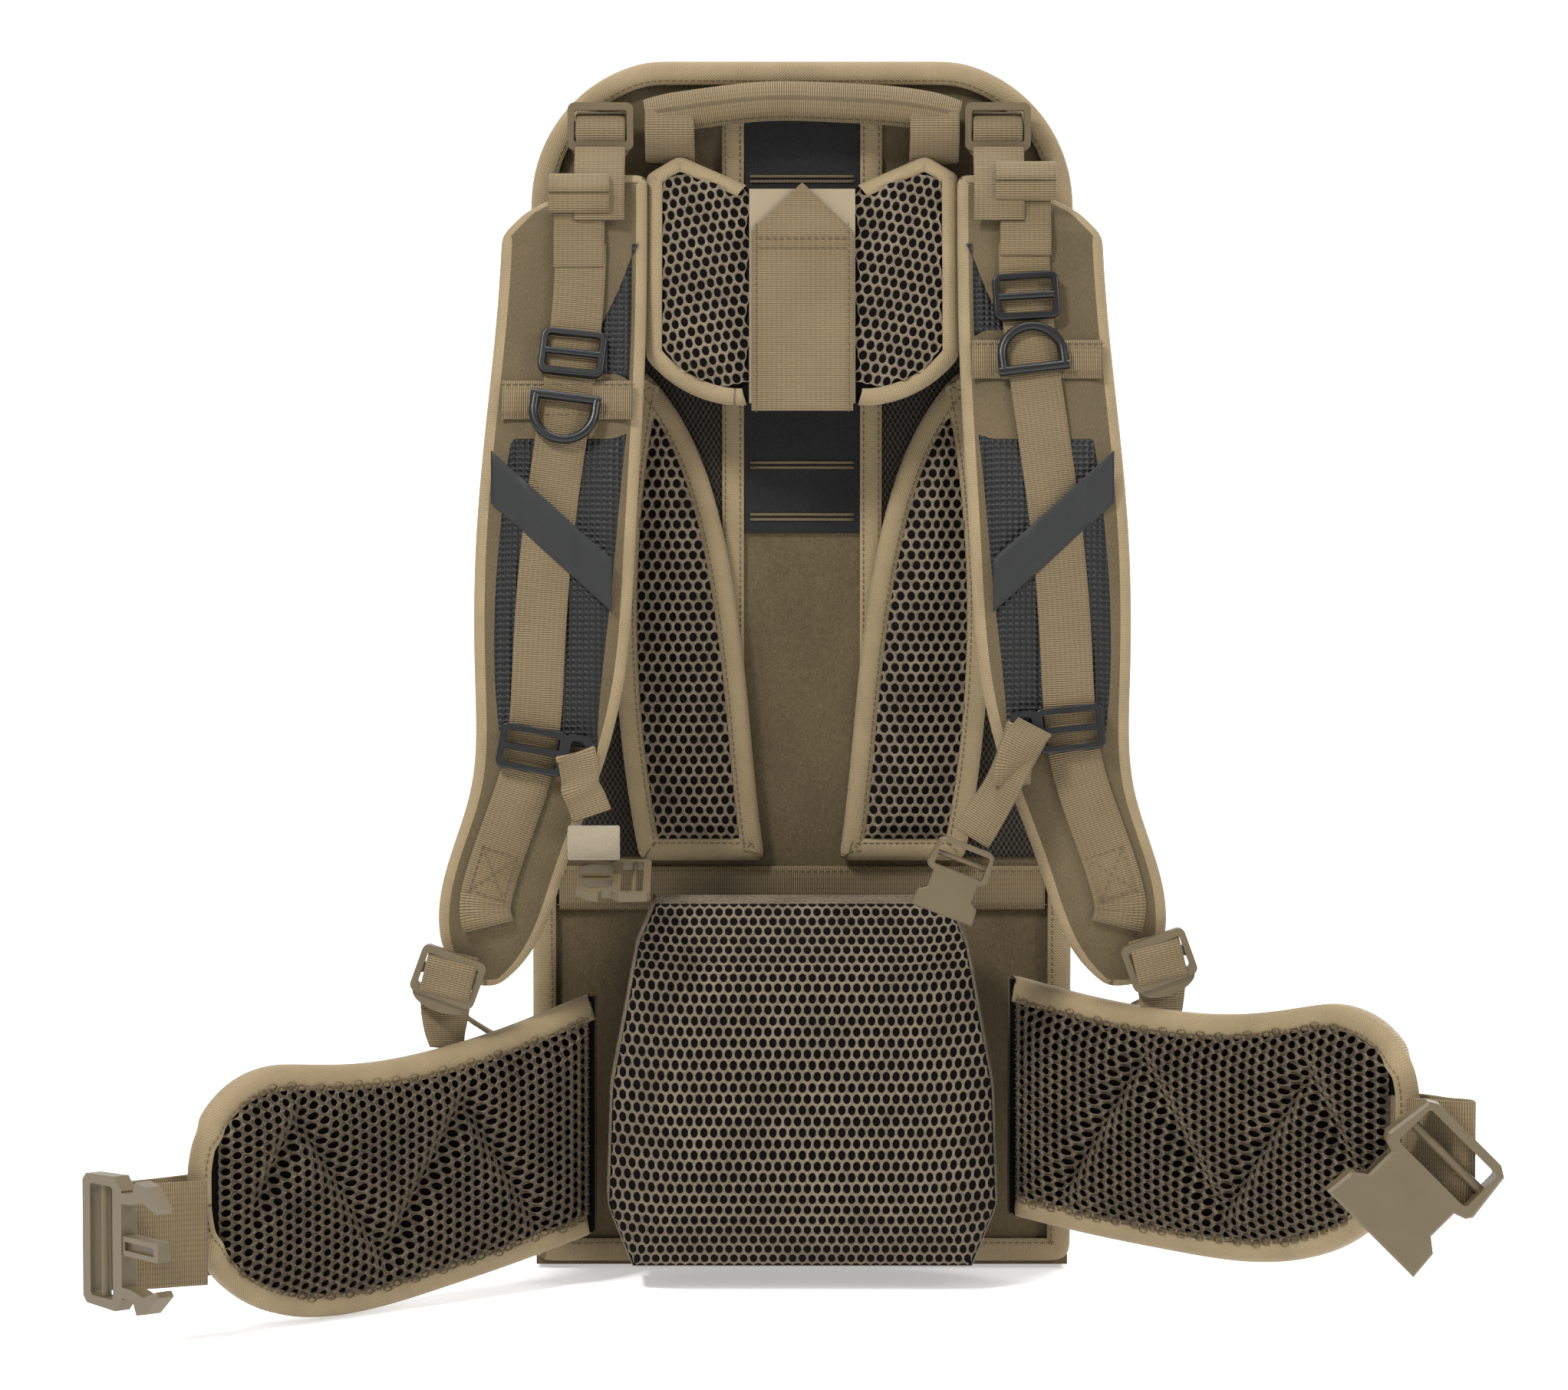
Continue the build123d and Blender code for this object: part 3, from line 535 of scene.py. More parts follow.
def smoothPath(points, count=40):
    # even points on a smooth curve through a few chosen ones
    points = np.asarray(points, float)
    arc = np.concatenate([[0], np.cumsum(np.linalg.norm(np.diff(points, axis=0), axis=1))])
    slope = np.gradient(points, arc, axis=0)
    out = []
    for s in np.linspace(0, arc[-1], count):
        i = min(np.searchsorted(arc, s, side="right") - 1, len(arc) - 2)
        h = arc[i + 1] - arc[i]
        t = (s - arc[i]) / h
        out.append((2 * t ** 3 - 3 * t ** 2 + 1) * points[i] + (t ** 3 - 2 * t ** 2 + t) * h * slope[i]
                   + (3 * t ** 2 - 2 * t ** 3) * points[i + 1] + (t ** 3 - t ** 2) * h * slope[i + 1])
    return np.array(out)


def edgeTape(name, sheet, width, rim, steps, span=None):
    # binding folded over the edge of a sheet. span keeps only a stretch of the outline
    loop, inner = sheet.outline(steps)
    out = sheet.out(loop[:, 0], loop[:, 1])
    flat = np.stack([inner[:, 0], np.zeros(len(loop)), inner[:, 1]], -1)
    flat -= out * np.sum(flat * out, 1)[:, None]
    base = sheet.point(loop[:, 0], loop[:, 1])
    t = rim + 0.0006
    profile = [(width, t * 0.96), (width * 0.97, t + 0.0005), (width * 0.5, t + 0.0007),
               (width * 0.15, t + 0.0003), (-0.0006, t * 0.72), (-0.0013, t * 0.3),
               (-0.0013, -t * 0.3), (-0.0006, -t * 0.72), (width * 0.15, -t - 0.0003),
               (width * 0.5, -t - 0.0006), (width * 0.97, -t - 0.0004), (width, -t * 0.96)]
    k = len(profile)
    arc = np.concatenate([[0], np.cumsum(np.linalg.norm(np.diff(base, axis=0), axis=1))])
    keep = np.arange(len(loop))
    whole = span is None
    if not whole:
        keep = np.array([i for i in keep if span(*loop[i])])
        gap = np.where(np.diff(keep) > 1)[0]
        if len(gap):
            keep = np.concatenate([keep[gap[0] + 1:], keep[:gap[0] + 1]])
    points, uv = [], []
    for i in keep:
        for u, w in profile:
            points.append(base[i] + flat[i] * u + out[i] * w)
            uv.append((u + abs(w) * 0.5, arc[i]))
    faces = []
    n = len(keep)
    for i in range(n if whole else n - 1):
        for j in range(k - 1):
            a, b = i * k, ((i + 1) % n) * k
            faces.append((a + j, a + j + 1, b + j + 1, b + j))
    obj = recalc(makeObject(name, points, faces, binding, uv))
    seam = base[keep] + flat[keep] * (width - 0.0022) + out[keep] * (t + 0.0007)
    if whole:
        seam = np.concatenate([seam, seam[:1]])
    return obj, seam


def frontOf(sheet, lift, edge, columns=36, insets=(0, 0, 0, 0), shape=None, lip=0.0, wrap=0.0):
    # only the outer face of a pad, for the net: insets pull in its low side, high side, start and end
    # wrap carries it on over the edge and down the side wall
    start, stop = sheet.at[0] + insets[2] - wrap, sheet.at[-1] - insets[3] + wrap
    flat = start + (stop - start) * (0.5 - 0.5 * np.cos(np.linspace(0, math.pi,
                                                                    len(sheet.at) + (30 if wrap else 0))))
    at = np.clip(flat, sheet.at[0], sheet.at[-1])
    edges = []
    for line, pull in ((sheet.low, insets[0]), (sheet.high, -insets[1])):
        slope = np.interp(at + 0.001, sheet.at, line) - np.interp(at - 0.001, sheet.at, line)
        lean = np.clip(np.abs(slope) / 0.002, 0, 2.5)
        edges.append(np.interp(at, sheet.at, line) + pull * np.sqrt(1 + lean ** 2))
    low, high = edges[0][:, None], np.maximum(edges[1], edges[0] + 0.001)[:, None]
    wide = (low - wrap) + (high - low + 2 * wrap) * (0.5 - 0.5 * np.cos(np.linspace(0, math.pi, columns)))
    a = np.clip(wide, low, high)
    flat = np.repeat(flat[:, None], columns, 1)
    at = np.repeat(at[:, None], columns, 1)
    x, z = (a, at) if sheet.axis == 2 else (at, a)
    near = np.minimum(a - np.interp(at, sheet.at, sheet.low), np.interp(at, sheet.at, sheet.high) - a)
    ends = np.minimum(at - sheet.at[0], sheet.at[-1] - at)
    t = np.clip((np.minimum(near, ends) - lip) / edge, 0, 1)
    swell = np.sin(t * math.pi / 2)
    extra = shape(x, z) if shape else 0.0
    over = np.hypot(wide - a, flat - at)
    top = sheet.point(x, z, lift[0] + (lift[1] - lift[0]) * swell + extra * swell - over)
    if wrap:
        stand = np.clip(over / 0.004, 0, 1) * 0.0014 / np.maximum(over, 1e-6)
        top[..., 0] += (wide - a) * (stand + 0.03)
        top[..., 2] += (flat - at) * (stand + 0.03)
    unwound = sheet.weave(x, z)
    unwound[..., 0 if sheet.axis == 2 else 1] += wide - a
    unwound[..., 1 if sheet.axis == 2 else 0] += flat - at
    n, m = x.shape
    index = np.arange(n * m).reshape(n, m)
    quads = np.stack([index[:-1, :-1], index[:-1, 1:], index[1:, 1:], index[1:, :-1]], -1).reshape(-1, 4)
    return makeObject("front", top.reshape(-1, 3), quads.tolist(), foam, unwound.reshape(-1, 2))


def startTree(name, inputs):
    # a Geometry Nodes tree with named inputs, and the identifiers that a modifier sets them by
    tree = bpy.data.node_groups.new(name, "GeometryNodeTree")
    tree.interface.new_socket("Geometry", in_out="INPUT", socket_type="NodeSocketGeometry")
    ids = {}
    for key, (kind, value) in inputs.items():
        socket = tree.interface.new_socket(key, in_out="INPUT", socket_type="NodeSocket" + kind)
        if value is not None:
            socket.default_value = value
        ids[key] = socket.identifier
    tree.interface.new_socket("Geometry", in_out="OUTPUT", socket_type="NodeSocketGeometry")
    return tree, ids, partial(addNode, tree), tree.nodes.new("NodeGroupInput").outputs


def endTree(tree, node, shape, material):
    # real shapes with their material, joined to the output
    real = node("GeometryNodeRealizeInstances", {}, {"Geometry": shape})
    painted = node("GeometryNodeSetMaterial", {}, {"Geometry": real.outputs[0], "Material": material})
    tree.links.new(painted.outputs[0], tree.nodes.new("NodeGroupOutput").inputs[0])


def netTree():
    # staggered six-sided cells laid over a face by its UV map, each opened into a hole
    tree, ids, node, given = startTree("openNet", {
        "Width": ("Float", 0.2), "Height": ("Float", 0.2), "Columns": ("Int", 40), "Rows": ("Int", 40),
        "Hole": ("Float", 0.6), "Sink": ("Float", 0.0014), "Turned": ("Float", 0.0),
        "Centre": ("Vector", (0, 0, 0)), "Yarn": ("Material", None)})

    def sums(kind, a, b=0.0):
        return node("ShaderNodeMath", {"operation": kind}, {0: a, 1: b}).outputs[0]

    def named(name, kind):
        return node("GeometryNodeInputNamedAttribute", {"data_type": kind}, {"Name": name}).outputs[0]

    def stored(shape, name, kind, value):
        return node("GeometryNodeStoreNamedAttribute", {"data_type": kind, "domain": "POINT"},
                    {"Geometry": shape, "Name": name, "Value": value}).outputs[0]

    def sample(field):
        return node("GeometryNodeSampleUVSurface", {"data_type": "FLOAT_VECTOR"},
                    {"Mesh": given["Geometry"], "Value": field, "UV Map": weave,
                     "Sample UV": place.outputs[0]})

    # a grid of points with every second row shifted by half a cell, and the cells round the points
    grid = node("GeometryNodeMeshGrid", {}, {"Size X": given["Width"], "Size Y": given["Height"],
                                             "Vertices X": given["Columns"], "Vertices Y": given["Rows"]})
    spot = node("ShaderNodeSeparateXYZ", {}, {0: node("GeometryNodeInputPosition").outputs[0]})
    pitchX = sums("DIVIDE", given["Width"], sums("SUBTRACT", given["Columns"], 1.0))
    pitchY = sums("DIVIDE", given["Height"], sums("SUBTRACT", given["Rows"], 1.0))
    row = sums("ROUND", sums("DIVIDE", sums("ADD", spot.outputs[1], sums("MULTIPLY", given["Height"], 0.5)),
                             pitchY))
    odd = sums("MODULO", row, 2.0)
    shift = node("ShaderNodeCombineXYZ", {}, {0: sums("MULTIPLY", odd, sums("MULTIPLY", pitchX, 0.5))})
    moved = node("GeometryNodeSetPosition", {}, {"Geometry": grid.outputs[0], "Offset": shift.outputs[0]})
    cut = node("GeometryNodeTriangulate", {}, {"Mesh": moved.outputs[0]})
    cells = node("GeometryNodeDualMesh", {}, {0: cut.outputs[0]})

    # the cells laid on the face where its UV map holds them
    turn = node("ShaderNodeVectorRotate", {"rotation_type": "Z_AXIS"},
                {"Vector": node("GeometryNodeInputPosition").outputs[0], "Angle": given["Turned"]})
    place = node("ShaderNodeVectorMath", {"operation": "ADD"}, {0: turn.outputs[0], 1: given["Centre"]})
    weave = named("weave", "FLOAT_VECTOR")
    where = sample(node("GeometryNodeInputPosition").outputs[0])
    normal = sample(node("GeometryNodeInputNormal").outputs[0])
    held = stored(stored(cells.outputs[0], "found", "BOOLEAN", where.outputs[1]), "outward", "FLOAT_VECTOR",
                  normal.outputs[0])
    laid = node("GeometryNodeSetPosition", {}, {"Geometry": held, "Position": where.outputs[0]})
    lost = node("FunctionNodeBooleanMath", {"operation": "NOT"}, {0: named("found", "BOOLEAN")})
    clean = node("GeometryNodeDeleteGeometry", {"domain": "POINT"},
                 {"Geometry": laid.outputs[0], "Selection": lost.outputs[0]})
    area = node("GeometryNodeInputMeshFaceArea")
    limit = sums("MULTIPLY", sums("MULTIPLY", pitchX, pitchY),
                 3.2)      # a cell stretched past this is left out
    big = node("FunctionNodeCompare", {"operation": "GREATER_THAN"}, {0: area.outputs[0], 1: limit})
    trim = node("GeometryNodeDeleteGeometry", {"domain": "FACE"},
                {"Geometry": clean.outputs[0], "Selection": big.outputs[0]})

    # each cell drawn in, sunk twice, and its floor removed
    out = node("GeometryNodeExtrudeMesh", {"mode": "FACES"},
               {"Mesh": trim.outputs[0], "Offset Scale": 0.0, "Individual": True})
    first = node("GeometryNodeScaleElements", {"domain": "FACE"},
                 {"Geometry": out.outputs[0], "Selection": out.outputs[1], "Scale": given["Hole"]})
    drop = node("ShaderNodeVectorMath", {"operation": "SCALE"},
                {0: named("outward", "FLOAT_VECTOR"), 3: sums("MULTIPLY", given["Sink"], -1.0)})
    low = node("GeometryNodeSetPosition", {},
               {"Geometry": first.outputs[0], "Selection": out.outputs[1], "Offset": drop.outputs[0]})
    again = node("GeometryNodeExtrudeMesh", {"mode": "FACES"},
                 {"Mesh": low.outputs[0], "Selection": out.outputs[1], "Offset Scale": 0.0,
                  "Individual": True})
    second = node("GeometryNodeScaleElements", {"domain": "FACE"},
                  {"Geometry": again.outputs[0], "Selection": again.outputs[1], "Scale": 1.12})
    deep = node("GeometryNodeSetPosition", {},
                {"Geometry": second.outputs[0], "Selection": again.outputs[1], "Offset": drop.outputs[0]})
    opened = node("GeometryNodeDeleteGeometry", {"domain": "FACE", "mode": "ONLY_FACE"},
                  {"Geometry": deep.outputs[0], "Selection": again.outputs[1]})
    soft = node("GeometryNodeSubdivisionSurface", {}, {"Mesh": opened.outputs[0], "Level": 1})
    endTree(tree, node, soft.outputs[0], given["Yarn"])
    return tree, ids


def stitchTree():
    # small beads along a line, long in its direction
    tree, ids, node, given = startTree("stitches", {
        "Pitch": ("Float", 0.0032), "Long": ("Float", 0.0024), "Thick": ("Float", 0.0005),
        "Thread": ("Material", None)})
    line = node("GeometryNodeMeshToCurve", {}, {0: given["Geometry"]})
    spaced = node("GeometryNodeResampleCurve", {"mode": "LENGTH"},
                  {"Curve": line.outputs[0], "Length": given["Pitch"]})
    bead = node("GeometryNodeMeshUVSphere", {}, {"Segments": 6, "Rings": 4, "Radius": 1.0})
    half = node("ShaderNodeMath", {"operation": "MULTIPLY"}, {0: given["Long"], 1: 0.5})
    size = node("ShaderNodeCombineXYZ", {}, {0: given["Thick"], 1: given["Thick"], 2: half.outputs[0]})
    along = node("FunctionNodeAlignRotationToVector", {"axis": "Z"},
                 {"Vector": node("GeometryNodeInputTangent").outputs[0]})
    put = node("GeometryNodeInstanceOnPoints", {}, {"Points": spaced.outputs[0], "Instance": bead.outputs[0],
                                                    "Rotation": along.outputs[0], "Scale": size.outputs[0]})
    endTree(tree, node, put.outputs[0], given["Thread"])
    return tree, ids


netGroup, netIds = netTree()
stitchGroup, stitchIds = stitchTree()


def grow(obj, name, group, ids, values, material):
    # what a tree makes of an object, as a plain mesh of its own; the object itself goes
    step = obj.modifiers.new("grow", "NODES")
    step.node_group = group
    for key, value in values.items():
        step[ids[key]] = value
    obj.data.update()
    bpy.context.view_layer.update()
    shaped = obj.evaluated_get(bpy.context.evaluated_depsgraph_get())
    mesh = bpy.data.meshes.new_from_object(shaped)
    mesh.name = name
    result = bpy.data.objects.new(name, mesh)
    bpy.context.scene.collection.objects.link(result)
    bpy.data.objects.remove(obj)
    mesh.polygons.foreach_set("use_smooth", [True] * len(mesh.polygons))
    mesh.materials.clear()
    mesh.materials.append(material)
    return result


def openNet(name, base, pitch, hole, sink, turned=0.0):
    # pitch is in millimetres, across and along
    uv = np.zeros(len(base.data.loops) * 2)
    base.data.uv_layers["weave"].data.foreach_get("uv", uv)
    uv = uv.reshape(-1, 2)
    low, high = uv.min(0), uv.max(0)
    size = np.hypot(*(high - low))
    width, height = (size, size) if turned else (high - low)
    columns, rows = int(width / (pitch[0] * mm)) + 2, int(height / (pitch[1] * mm)) + 2
    values = {"Width": (columns - 1) * pitch[0] * mm, "Height": (rows - 1) * pitch[1] * mm,
              "Columns": columns,
              "Rows": rows, "Hole": hole, "Sink": sink, "Turned": turned, "Centre": (*(low + high) / 2, 0.0),
              "Yarn": yarn}
    return grow(base, name, netGroup, netIds, values, yarn)


stitchSpec = {"Pitch": 0.0032, "Long": 0.0025, "Thick": 0.00038}
seams = {}      # the lines to sew, by body


def seam(body, *lines):
    seams.setdefault(body, []).extend(np.asarray(line, float) for line in lines)


def sewAll(name, lines):
    points, edges, start = [], [], 0
    for line in lines:
        points.append(line)
        edges += [(start + i, start + i + 1) for i in range(len(line) - 1)]
        start += len(line)
    mesh = bpy.data.meshes.new(name)
    mesh.from_pydata(np.concatenate(points).tolist(), edges, [])
    obj = bpy.data.objects.new(name, mesh)
    bpy.context.scene.collection.objects.link(obj)
    values = {**stitchSpec, "Thread": threadMat}
    return grow(obj, name, stitchGroup, stitchIds, values, threadMat)


def bodyOf(node):
    return frame["nodes"][node].parent.name.split(":")[-1]


def dress(name, material):
    # a CAD piece shown as it is, with a finish
    obj = frame["nodes"][name]
    obj.data.materials.clear()
    obj.data.materials.append(material)


print("helpers ready")


# harness panel
def makeFlat(name, kind, light, dark):
    # the same finishes for CAD pieces, which have no UV map: measured from their own coordinates
    m = Mat(name)
    x, y, z = m.split(m.place())
    u, v = x + y, z + y * 0.3       # the small share of y keeps the pattern off straight lines
    cloud = m.noise(m.place(), 26.0, 3.0)
    fleck = m.noise(m.stretch(m.place(), (900, 900, 500)), 1.0, 2.0)
    if kind == "cloth":
        cross = (u * (clothThreads * math.pi)).sine() * (v * (clothThreads * math.pi)).sine() * 0.5 + 0.5
        shade = cross * 0.40 + fleck * 0.6 + (cloud - 0.5) * 0.5
        return m.finish(m.mix(shade.clamp(), dark, light), 0.78, cross + fleck * 0.6, 0.00022, sheen=0.06,
                        specular=0.2)
    rib = (v * (webbingRibs * math.pi)).sine().absolute()
    shade = rib * 0.6 + fleck * 0.4 + (cloud - 0.5) * 0.35
    return m.finish(m.mix(shade.clamp(), dark, light), 0.62, rib, 0.0004, sheen=0.05, specular=0.26)


flatCloth = makeFlat("bagCloth", "cloth", tones["cloth"], tones["clothDark"])
flatWebbing = makeFlat("flatWebbing", "webbing", tones["webbing"], tones["webbingDark"])
finishes = (
    (flatCloth, "bag_shell base_panel front_panel front_pocket"),
    (blackSheet, "hydration_sleeve frame_sheet"),
    (metal, "stays"),
    (blackLoop, "zip_track torso_ladder"),
    (flatWebbing, "zip_pull_left zip_pull_right compression_webbing edge_binding ladder_strips "
                  "waist_webbing"),
    (tanPlastic, "compression_locks lifter_lock_left lifter_lock_right lower_lock_left lower_lock_right "
                 "sternum_male sternum_female belt_male belt_female"),
    (blackPlastic, "triglide_left triglide_right dring_left dring_right "
                   "sternum_slider_left sternum_slider_right"),
)
for material, names in finishes:
    for name in names.split():
        dress(name, material)


def level(name, y=None):
    # a flat upright CAD piece as a sheet: its outline rows, all at one depth
    rows = slices(name, 2, 80)
    rows[:, 3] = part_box(name)[0].y if y is None else y
    return Sheet(rows, 2)


# the edge of the back panel: a bound lip all round it
panelSpec = {"tape": 0.0105, "rim": 0.0030, "steps": 420}
panel = level("edge_binding", backY)
lip, lipSeam = edgeTape("panelBinding", panel, panelSpec["tape"], panelSpec["rim"], panelSpec["steps"])
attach(lip, "pack")
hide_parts("edge_binding")
seam("pack", lipSeam)

# black loop ladder with its thin tan stripes, and the bound strips beside it
ladderSpec = {"stripes": (0.547, 0.5445, 0.4045, 0.4020, 0.3785, 0.3760), "stripe": 0.0013, "edge": 0.0110,
              "edgeX": 0.0345}
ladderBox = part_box("torso_ladder")
ladderHalf = (ladderBox[1].x - ladderBox[0].x) / 2
for i, z in enumerate(ladderSpec["stripes"]):
    path = np.stack([np.linspace(-1, 1, 12) * (ladderHalf - 0.003), np.full(12, backY - 0.0019),
                     np.full(12, z)], -1)
    strip("ladderStripe%d" % i, path, (0, 0, 1), ladderSpec["stripe"], 0.0006, threadMat, "pack")
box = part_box("ladder_strips")
z = np.linspace(box[0].z + 0.004, box[1].z - 0.004, 60)
for side, s in sides:
    path = np.stack([np.full(60, s * ladderSpec["edgeX"]), np.full(60, backY - 0.0024), z], -1)
    strip("ladderEdge_" + side, path, (1, 0, 0), ladderSpec["edge"], 0.0012, binding, "pack")
    for dx in (-0.0038, 0.0038):
        seam("pack", path + np.array([dx, -0.0008, 0]))

# waist webbing
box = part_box("waist_webbing")
x = np.linspace(box[0].x, box[1].x, 60)
path = np.stack([x, np.full(60, backY - 0.0022), np.full(60, (box[0].z + box[1].z) / 2)], -1)
band = strip("waistBand", path, (0, 0, 1), box[1].z - box[0].z, 0.0022, webbing, "pack", 0.0003)
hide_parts("waist_webbing")
for dz in (-0.0085, 0.0085):
    seam("pack", path + np.array([0, -0.0014, dz]))
print("harness panel done")

# back pads
padSpec = {"lip": 0.0070, "edge": 0.024, "rim": 0.0025, "front": 0.0150, "rear": 0.0030, "tape": 0.0100,
           "inset": 0.0045,
           "net": (5.35, 5.1), "hole": 0.74}
for side, s in sides:
    node = "back_pad_" + side
    sheet = sheetOf(node, 2, 90)
    sheet.y[:] = backY - 0.0055
    pad = padMesh("backPad_" + side, sheet, foam, padSpec["front"], padSpec["rear"], padSpec["rim"],
                  padSpec["edge"], 48,
                  lip=padSpec["lip"])
    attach(pad, "pack")
    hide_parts(node)
    base = frontOf(sheet, (padSpec["rim"] + 0.0016, padSpec["front"] + 0.0016), padSpec["edge"], 48,
                   (padSpec["inset"],) * 4,
                   lip=padSpec["lip"])
    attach(openNet("backNet_" + side, base, padSpec["net"], padSpec["hole"], 0.0010), "pack")
    tape, line = edgeTape("backPadEdge_" + side, sheet, padSpec["tape"], padSpec["rim"] + 0.0022, 260)
    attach(tape, "pack")
    seam("pack", line)
    mesh = level("side_mesh_" + side, backY - 0.0008)
    panelMesh = padMesh("sideMesh_" + side, mesh, airMesh, 0.0012, 0.0006, 0.0004, 0.003, 30)
    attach(panelMesh, "pack")
    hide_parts("side_mesh_" + side)
print("back pads done")

# lumbar pad
lumbarSpec = {"rim": 0.45, "edge": 0.040, "net": (4.8, 5.5), "hole": 0.74, "sink": 0.0013, "wrap": 0.028}
lumbar = sheetOf("lumbar_pad", 2, 60)
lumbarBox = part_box("lumbar_pad")
lumbar.y[:] = (lumbarBox[0].y + lumbarBox[1].y) / 2
half = (lumbarBox[1].y - lumbarBox[0].y) / 2
rim = half * lumbarSpec["rim"]
cushion = padMesh("lumbarCushion", lumbar, foam, half - 0.001, half - 0.001, rim, lumbarSpec["edge"], 60)
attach(cushion, "pack")
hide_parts("lumbar_pad")
lumbarFront = frontOf(lumbar, (rim + 0.0015, half + 0.0006), lumbarSpec["edge"], 90, wrap=lumbarSpec["wrap"])
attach(openNet("lumbarNet", lumbarFront, lumbarSpec["net"], lumbarSpec["hole"], lumbarSpec["sink"]), "pack")
print("lumbar pad done")


# straps
strapSpec = {"edge": 0.014, "rim": 0.0022, "front": 0.0058, "rear": 0.0058, "tape": 0.0085}
strapSheets = {}
for side, s in sides:
    node = "strap_pad_" + side
    body = bodyOf(node)
    sheet = strapSheets[side] = sheetOf(node, 2, 120)
    pad = padMesh("strapPad_" + side, sheet, strapCloth, strapSpec["front"], strapSpec["rear"],
                  strapSpec["rim"], strapSpec["edge"], 30)
    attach(pad, body)
    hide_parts(node)
    tape, line = edgeTape("strapEdge_" + side, sheet, strapSpec["tape"], strapSpec["rim"] + 0.0003, 420)
    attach(tape, body)
    seam(body, line)
    grid = sheetOf("grid_panel_" + side, 2, 60)
    grid.y[:] = sheet.depth(0, grid.at)
    gridMesh = padMesh("strapGrid_" + side, Sheet(grid.rows, 2), gridCloth, 0.0068, -0.0040, 0.0035, 0.010,
                       24)
    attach(gridMesh, body)
    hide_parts("grid_panel_" + side)
    # a second black panel higher up, between the webbing and the inner edge
    z = np.linspace(0.4445 if s < 0 else 0.4665, 0.512, 26)
    inner = np.interp(z, sheet.at, sheet.high if s < 0 else sheet.low)
    spread = np.clip((0.518 - z) / 0.05, 0.12, 1) * 0.0235
    edge = np.stack([z, inner - spread if s < 0 else inner + 0.006,
                     inner - 0.006 if s < 0 else inner + spread, sheet.depth(0, z)], -1)
    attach(padMesh("strapGridTop_" + side, Sheet(edge, 2), gridCloth, 0.0064, -0.0040, 0.0048, 0.004, 16),
            body)
print("straps done")


